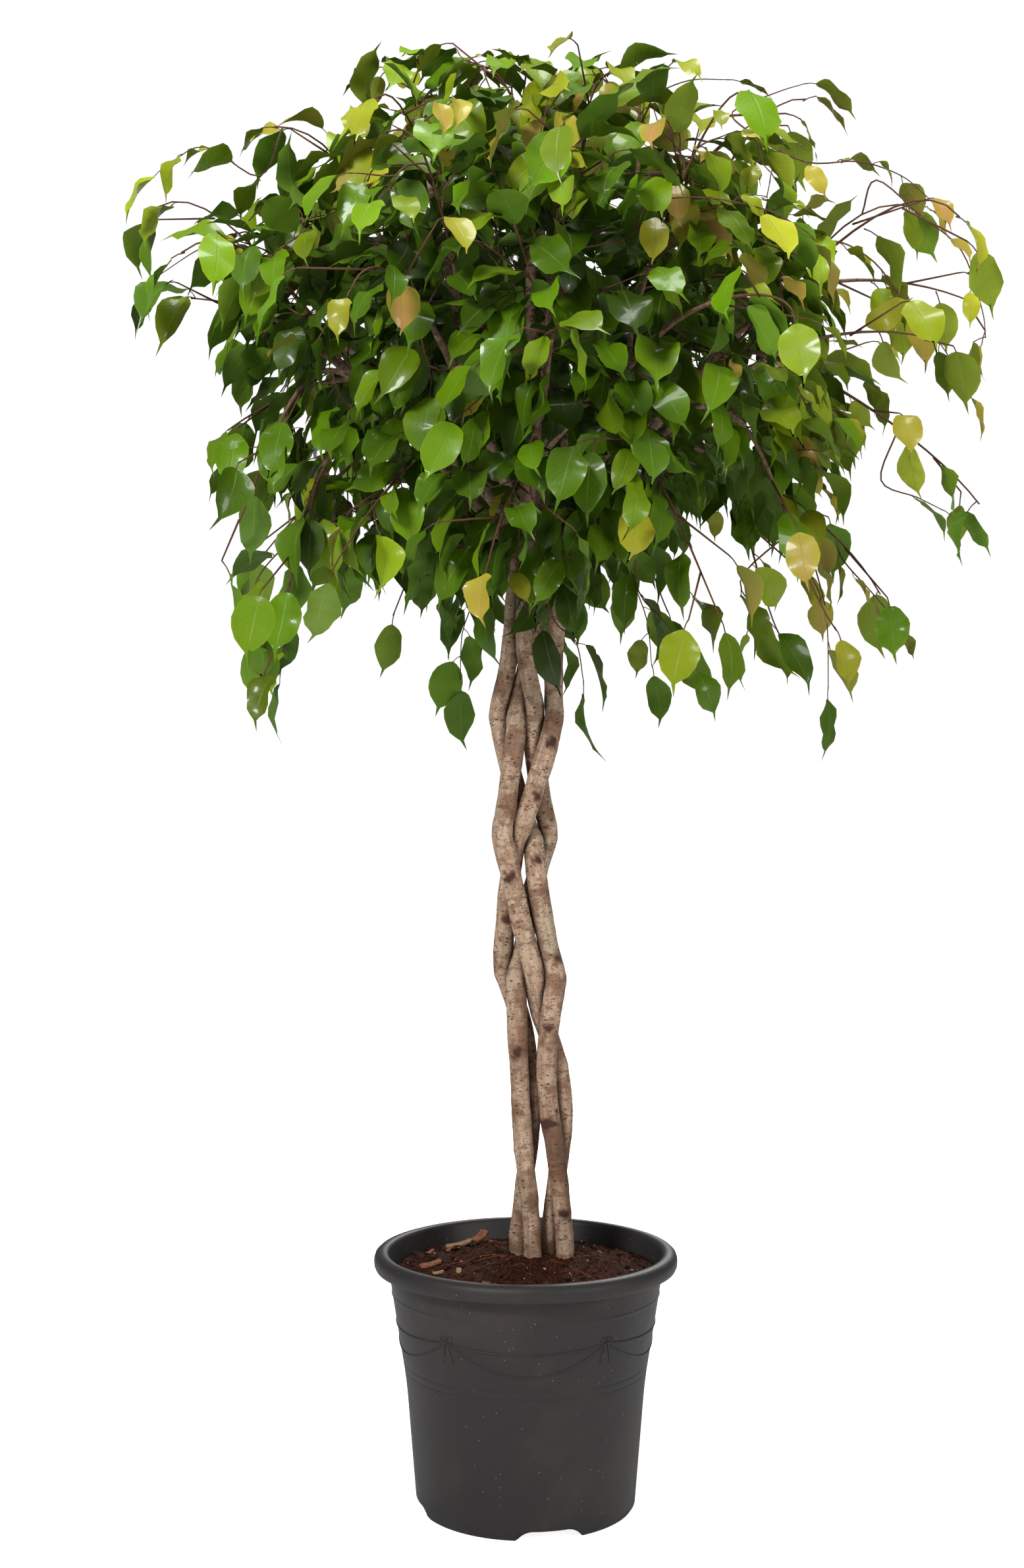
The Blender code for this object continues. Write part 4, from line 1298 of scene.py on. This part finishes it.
def stemSwell(name):
    # lumps, knots and stains on a stem, and painted shade where another stem is near
    knots = knotPoints(name)
    others = [line for other, line in lines.items() if other != name]
    shift = 3.7 * list(lines).index(name)

    def swell(point, out, shade):
        p = Vector(point)
        grown = stemLook["lumps"] * noise.noise(Vector((p.x * 55, p.y * 55, p.z * 26)))
        grown += 0.00028 * noise.noise(p * 160)
        grown += 0.0006 * max(0.0, noise.noise(Vector((p.x * 3, p.y * 3, p.z * 42 + shift)))) ** 2 * 4
        stain = shade[2]
        for centre, size in knots:
            far = np.linalg.norm((point - centre) * (1, 1, 0.8)) / size
            if far < 3:
                ragged = far * (1 + 0.9 * noise.noise(p * 210))
                grown += size * 0.33 * math.exp(-far * far * 1.6) - size * 0.12 * math.exp(-far * far * 12)
                stain = max(stain, 1.1 * math.exp(-ragged * ragged * 2.0))
        base = min(1.0, max(0.0, (0.34 - p.z) / 0.12))
        stain = max(stain, base * 0.7 * max(0.0, noise.noise(p * 48) + 0.3))
        low = min(1.0, max(0.0, (0.60 - p.z) / 0.25))
        stain = max(stain, low * (0.12 + 0.8 * max(0.0, noise.noise(Vector((p.x * 26, p.y * 26, p.z * 13))) + 0.05)))
        # painted shade: the bark is darkened where another stem runs close, as shade falls in the gaps
        painted_gap_shade = 0.0
        if p.z < 0.95:
            for line in others:
                beside = np.array([np.interp(p.z / mm, line[:, 2], line[:, k]) for k in (0, 1)])
                gap = math.hypot(p.x / mm - beside[0], p.y / mm - beside[1]) - girthAt(p.z / mm)
                painted_gap_shade = max(painted_gap_shade, 1 - max(0.0, gap) / stemLook["crevice"])
        return grown, (shade[0], min(1.0, painted_gap_shade), min(1.0, stain))
    return swell


def makeStem(name, tubes):
    bm = startMesh()
    swell = stemSwell(name)
    for k, (line, radii, fine) in enumerate(tubes):
        if fine is None:
            start, end = line[0], line[1]
            sweep(bm, np.linspace(start, end, 5), np.linspace(4.2, 2.6, 5), 10, (0.6, 0, 0), 0)
            continue
        if k == 0:
            rings = splineOf(np.vstack([np.linspace(fine[0], fine[1], 9)[:-1], fine[1:]]), stemLook["rings"])
            radii = girthAt(rings[:, 2]) + stemLook["thicker"]
            count = 44 * stemLook["rings"]
            radii[-count:] = np.linspace(girthAt(935) + stemLook["thicker"], wood["limbGirth"][1], count)
            start = 1370.0 * list(lines).index(name)
            sweep(bm, rings, radii, stemLook["sides"], lambda share: (max(0, share - 0.6) * 1.6, 0, 0), 0, None, swell, start)
        else:
            count = len(fine)
            radii = np.linspace(*wood["limbGirth"], count) + 2.4 * np.exp(-np.arange(count) / 3.0)
            sweep(bm, fine, radii, 12, lambda share: (0.3 + 0.4 * share, 0, 0), 0, None, swell)
    return putPiece("bark_" + name, bm, ("bark",), ("stem_" + name,))


for name, (tubes, _) in stems.items():
    makeStem(name, tubes)
print("plaited stems made")


# pot
potShape = {
    "steps": 192,
    "underside": [(0, 0.2), (36, 0.2), (38, 10.5), (102, 10.5), (104, 0.2)],
    "outside": [(109.6, 0), (111.6, 3), (117.0, 68), (121.7, 125), (134.9, 206), (140.0, 239.5)],
    "rim": [(144.5, 238.2), (149.5, 238.5), (153.2, 240.4), (154.6, 243.5), (154.9, 247), (154.7, 250),
            (153.6, 253.4), (151, 255.8), (147.5, 256.9), (143.5, 256.8), (141, 255.4), (139.6, 252.5)],
    "inside": [(132.4, 206), (119.4, 125), (109.4, 13.5)],
    "floorTop": 13.5,
    # ring: height, half-height, how far it stands out
    "rings": [(215.0, 1.6, 0.7), (147.0, 1.1, -0.55), (139.5, 1.1, -0.55)],
    "swags": 5,
    "knotHeight": 191,
    "drops": (5.5, 28.0),
    "cord": 0.85,
    "notch": (50, 9.5, math.radians(-78)),
    "drain": (6, 84),
}


def wallRadius(height):
    heights = [z for _, z in potShape["outside"]]
    radii = [r for r, _ in potShape["outside"]]
    soft = np.array([np.interp(height + d, heights, radii) for d in (-14, -7, 0, 7, 14)])
    return float(soft.mean()) if 20 < height < 222 else float(np.interp(height, heights, radii))


def potProfile():
    heights = [0, 1.2, 3] + list(np.arange(12, 239, 9.0)) + [239.0]
    for at, half, _ in potShape["rings"]:
        heights = [h for h in heights if abs(h - at) > 1.6 * half + 1]
        heights += [at + half * share for share in (-1.6, -1, -0.6, 0, 0.6, 1, 1.6)]
    outside = []
    for height in sorted(heights):
        radius = wallRadius(height)
        for at, half, stand in potShape["rings"]:
            radius += stand * math.exp(-((height - at) / half) ** 2 * 2)
        outside.append((radius, height))
    return potShape["underside"] + outside + potShape["rim"] + potShape["inside"] + [(0, potShape["floorTop"])]


def spun(bm, profile, steps):
    verts = [bm.verts.new((r * mm, 0, z * mm)) for r, z in profile]
    edges = [bm.edges.new(pair) for pair in zip(verts, verts[1:])]
    bmesh.ops.spin(bm, geom=verts + edges, cent=(0, 0, 0), axis=(0, 0, 1), angle=2 * math.pi,
                   steps=steps, use_merge=True, use_duplicate=False)
    bmesh.ops.remove_doubles(bm, verts=bm.verts, dist=1e-6)
    bmesh.ops.recalc_face_normals(bm, faces=bm.faces)
    for face in bm.faces:
        face.smooth = True


def cutWith(piece, cutter):
    cut = piece.modifiers.new("cut", "BOOLEAN")
    cut.operation = "DIFFERENCE"
    cut.object = cutter
    cut.solver = "EXACT"
    bpy.context.view_layer.objects.active = piece
    bpy.ops.object.modifier_apply(modifier=cut.name)
    bpy.data.objects.remove(cutter)


def potCutter():
    # four notches in the foot and eight drain holes
    bm = bmesh.new()
    width, height, turn = potShape["notch"]
    for quarter in range(4):
        angle = turn + quarter * math.pi / 2
        block = bmesh.ops.create_cube(bm, size=1)["verts"]
        for vert in block:
            vert.co.y *= 1.0 if vert.co.z > 0 else 1.7  # the notch opens downwards
        bmesh.ops.transform(bm, verts=block, matrix=Matrix.Diagonal((30 * mm, width * mm, (height + 10) * mm, 1)))
        corners = [e for e in set(e for v in block for e in v.link_edges)
                   if all(v.co.z > 0 for v in e.verts) and e.verts[0].co.y * e.verts[1].co.y > 0]
        made = bmesh.ops.bevel(bm, geom=corners, offset=7 * mm, affect="EDGES", segments=6, profile=0.5, material=-1)
        block = list(set(v for v in block if v.is_valid) | set(made["verts"]))
        place = Matrix.Rotation(angle, 4, "Z") @ Matrix.Translation((112 * mm, 0, (height / 2 - 5) * mm))
        bmesh.ops.transform(bm, verts=block, matrix=place)
    radius, pitch = potShape["drain"]
    for k in range(8):
        angle = turn + (k + 0.5) * math.pi / 4
        place = Matrix.Rotation(angle, 4, "Z") @ Matrix.Translation((pitch * mm, 0, 12 * mm))
        bmesh.ops.create_cone(bm, cap_ends=True, segments=24, radius1=radius * mm, radius2=radius * mm,
                              depth=12 * mm, matrix=place)
    bmesh.ops.recalc_face_normals(bm, faces=bm.faces)
    mesh = bpy.data.meshes.new("potCutter")
    bm.to_mesh(mesh)
    bm.free()
    cutter = bpy.data.objects.new("potCutter", mesh)
    bpy.context.scene.collection.objects.link(cutter)
    return cutter


def onWall(turn, height, out=0.0):
    # a point on the pot's wall, in mm; turn is from the front towards the right
    radius = wallRadius(height) + out
    return np.array([radius * math.sin(turn), -radius * math.cos(turn), height])


def makePot():
    bm = startMesh()
    spun(bm, potProfile(), potShape["steps"])
    pot = putPiece("nursery_pot", bm, ("pot",), ("pot",))
    cutWith(pot, potCutter())
    bm = startMesh()
    pitch = 2 * math.pi / potShape["swags"]
    for swag in range(potShape["swags"]):
        centre = swag * pitch
        for drop in potShape["drops"]:
            turns = np.linspace(-0.5, 0.5, 33)
            line = [onWall(centre + t * pitch, potShape["knotHeight"] - drop * (1 - (2 * abs(t)) ** 2), 0.1) for t in turns]
            sweep(bm, line, np.full(33, potShape["cord"]), 8, (0, 0.5, 0), 0)
        knot = centre + pitch / 2
        for side in (-1, 1):  # a curl each side of the knot and a short tail
            curl = []
            for step in range(15):
                a = step / 14 * 5.2
                size = 6.0 * (1 - step / 24)
                curl.append(onWall(knot + side * (0.012 + size * math.sin(a) / 130), potShape["knotHeight"] - 1 + size * (1 - math.cos(a)) * 0.8, 0.1))
            sweep(bm, curl, np.linspace(1.0, 0.7, 15), 8, (0, 0.5, 0), 0)
            tail = [onWall(knot + side * (0.01 + 0.035 * s), potShape["knotHeight"] - 20 * s, 0.1) for s in np.linspace(0, 1, 7)]
            sweep(bm, tail, np.linspace(1.1, 0.5, 7), 8, (0, 0.5, 0), 0)
    putPiece("pot_swags", bm, ("pot",))


makePot()
print("pot made")


# potting mix
mixShape = {
    "top": [(136.4, 236), (100, 241), (50, 251), (0, 254)],
    "seed": 311,
    "perlite": 130,
    "fibres": 260,
    "clods": 700,
    "chips": 10,
    # x, y, length, width, turn, bow, lift, red or not
    "placedChips": [(-70, 72, 30, 12, 0.15, 0.22, 3.0, 0), (-48, 82, 20, 13, 0.7, 0.30, 9.0, 1),
                    (-97, -9, 24, 12, 0.2, 0.16, 3.0, 1), (-88, -40, 12, 4, 0.1, 0.1, 1.5, 0)],
    # long thin roots on the surface, from the stems outwards
    "roots": [(-12, -14, -74, -30), (-10, -18, -60, -58), (-18, -10, -96, -22), (34, -6, 84, 22), (24, -22, 66, -62)],
}


def soilHeight(radius):
    rows = sorted(mixShape["top"])
    return float(np.interp(radius, [r for r, _ in rows], [z for _, z in rows]))


def soilTop(x, y):
    # height of the mix at a point, all in mm
    radius = math.hypot(x, y)
    p = Vector((x, y, 0))
    rough = 3.4 * noise.noise(p / 21) + 2.6 * noise.noise(p / 8.5 + Vector((7, 3, 1))) + 1.4 * noise.noise(p / 3.6)
    return soilHeight(radius) - 0.8 + rough * min(1, max(0.1, (135 - radius) / 8))


def makeSoil():
    bm = startMesh()
    inside = [(r - 0.4, z) for r, z in potShape["inside"]][::-1]
    inside[0] = (inside[0][0], potShape["floorTop"] + 0.3)
    top = [(135.2, 234.5)] + [(r, soilHeight(r)) for r in np.linspace(132, 3, 56)] + [(0, soilHeight(0))]
    spun(bm, [(0, potShape["floorTop"] + 0.3)] + inside + top, 180)
    for vert in bm.verts:
        x, y, z = vert.co / mm
        if z > 230:
            vert.co.z = soilTop(x, y) * mm
    putPiece("potting_mix", bm, ("mix",), ("soil",))


def onSoil(dice, widest=131):
    # a random spot on the mix, clear of the stems
    while True:
        x, y = dice.uniform(-widest, widest), dice.uniform(-widest, widest)
        if math.hypot(x, y) > widest:
            continue
        if all(math.hypot(x - line[0][0], y - line[0][1]) > 11 for line in lines.values()):
            return x, y


def scatter(bm, dice, count, sizes, flat, lift, jitter):
    # crumbs: small balls pulled out of round
    for _ in range(count):
        x, y = onSoil(dice)
        size = dice.uniform(*sizes) ** 1.5
        ball = bmesh.ops.create_icosphere(bm, subdivisions=1, radius=1)["verts"]
        for vert in ball:
            vert.co *= 1 + dice.uniform(-jitter, jitter)
        turn = Matrix.Rotation(dice.uniform(0, 6.28), 4, "Z") @ Matrix.Rotation(dice.uniform(-0.5, 0.5), 4, "X")
        stretch = Matrix.Diagonal((size * dice.uniform(0.8, 1.4) * mm, size * mm, size * flat * mm, 1))
        place = Matrix.Translation(Vector((x, y, soilTop(x, y) + size * lift)) * mm)
        bmesh.ops.transform(bm, verts=ball, matrix=place @ turn @ stretch)


def makeCrumbs():
    dice = random.Random(mixShape["seed"])
    bm = startMesh()
    scatter(bm, dice, mixShape["perlite"], (0.5, 1.2), 0.8, 0.0, 0.2)
    putPiece("perlite_grains", bm, ("perlite",))
    bm = startMesh()
    scatter(bm, dice, mixShape["clods"], (0.8, 2.5), 0.75, 0.0, 0.32)
    putPiece("peat_clods", bm, ("mix",))
    bm = startMesh()
    for x, y, farX, farY in mixShape["roots"]:
        line = []
        for step in np.linspace(0, 1, 12):
            sway = 22 * (step * (1.3 - step)) * noise.noise(Vector((step * 2.2, x * 0.7, y * 0.9)))
            px, py = x + (farX - x) * step + sway * 0.5, y + (farY - y) * step + sway
            line.append((px, py, soilTop(px, py) + 1.0))
        sweep(bm, line, np.linspace(0.9, 0.4, 12), 6, (0, 0.5, 0), 0)
    for n in range(mixShape["fibres"]):
        x, y = onSoil(dice, 122)
        if n % 2 and x < 20:
            x = -x
        turn, reach, bow = dice.uniform(0, 6.28), dice.uniform(6, 24), dice.uniform(-0.6, 0.6)
        line = []
        for step in np.linspace(-0.5, 0.5, 6):
            px = x + reach * (step * math.cos(turn) - bow * step * step * math.sin(turn))
            py = y + reach * (step * math.sin(turn) + bow * step * step * math.cos(turn))
            line.append((px, py, soilTop(px, py) + 0.5 + 1.6 * dice.random() * (0.25 - step * step)))
        sweep(bm, line, np.full(6, dice.uniform(0.22, 0.5)), 5, (0, 0.5, 0), 0)
    putPiece("peat_fibres", bm, ("fibre",))


def makeChips():
    # bark chips: slabs, bowed along their length
    dice = random.Random(mixShape["seed"] + 1)
    bm = startMesh()
    spots = list(mixShape["placedChips"])
    for n in range(mixShape["chips"]):
        spots.append((*onSoil(dice, 118), dice.uniform(6, 13), dice.uniform(3, 6), dice.uniform(0, 3.1),
                      dice.uniform(-0.1, 0.15), 1.2, n % 3 > 0))
    for x, y, length, width, turn, bow, lift, red in spots:
        slab = bmesh.new()
        bmesh.ops.create_cube(slab, size=1)
        bmesh.ops.subdivide_edges(slab, edges=slab.edges[:], cuts=3, use_grid_fill=True)
        for vert in slab.verts:
            vert.co.z += bow * 10 * vert.co.x ** 2 + 0.08 * math.sin(vert.co.x * 9 + x) * vert.co.y
            vert.co.x *= 1 - 0.25 * abs(vert.co.y) - 0.1 * dice.random() * abs(vert.co.x)
        for face in slab.faces:
            face.material_index = int(red)
        place = Matrix.Translation(Vector((x, y, soilTop(x, y) + lift)) * mm)
        place = place @ Matrix.Rotation(turn, 4, "Z") @ Matrix.Rotation(-0.1 - lift * 0.04, 4, "Y")
        slab.transform(place @ Matrix.Diagonal((length * mm, width * mm, 2.2 * mm, 1)))
        mesh = bpy.data.meshes.new("chip")
        slab.to_mesh(mesh)
        slab.free()
        bm.from_mesh(mesh)
    for face in bm.faces:
        face.smooth = True
    putPiece("bark_chips", bm, ("chip", "redChip"))


makeSoil()
makeCrumbs()
makeChips()
print("potting mix made")
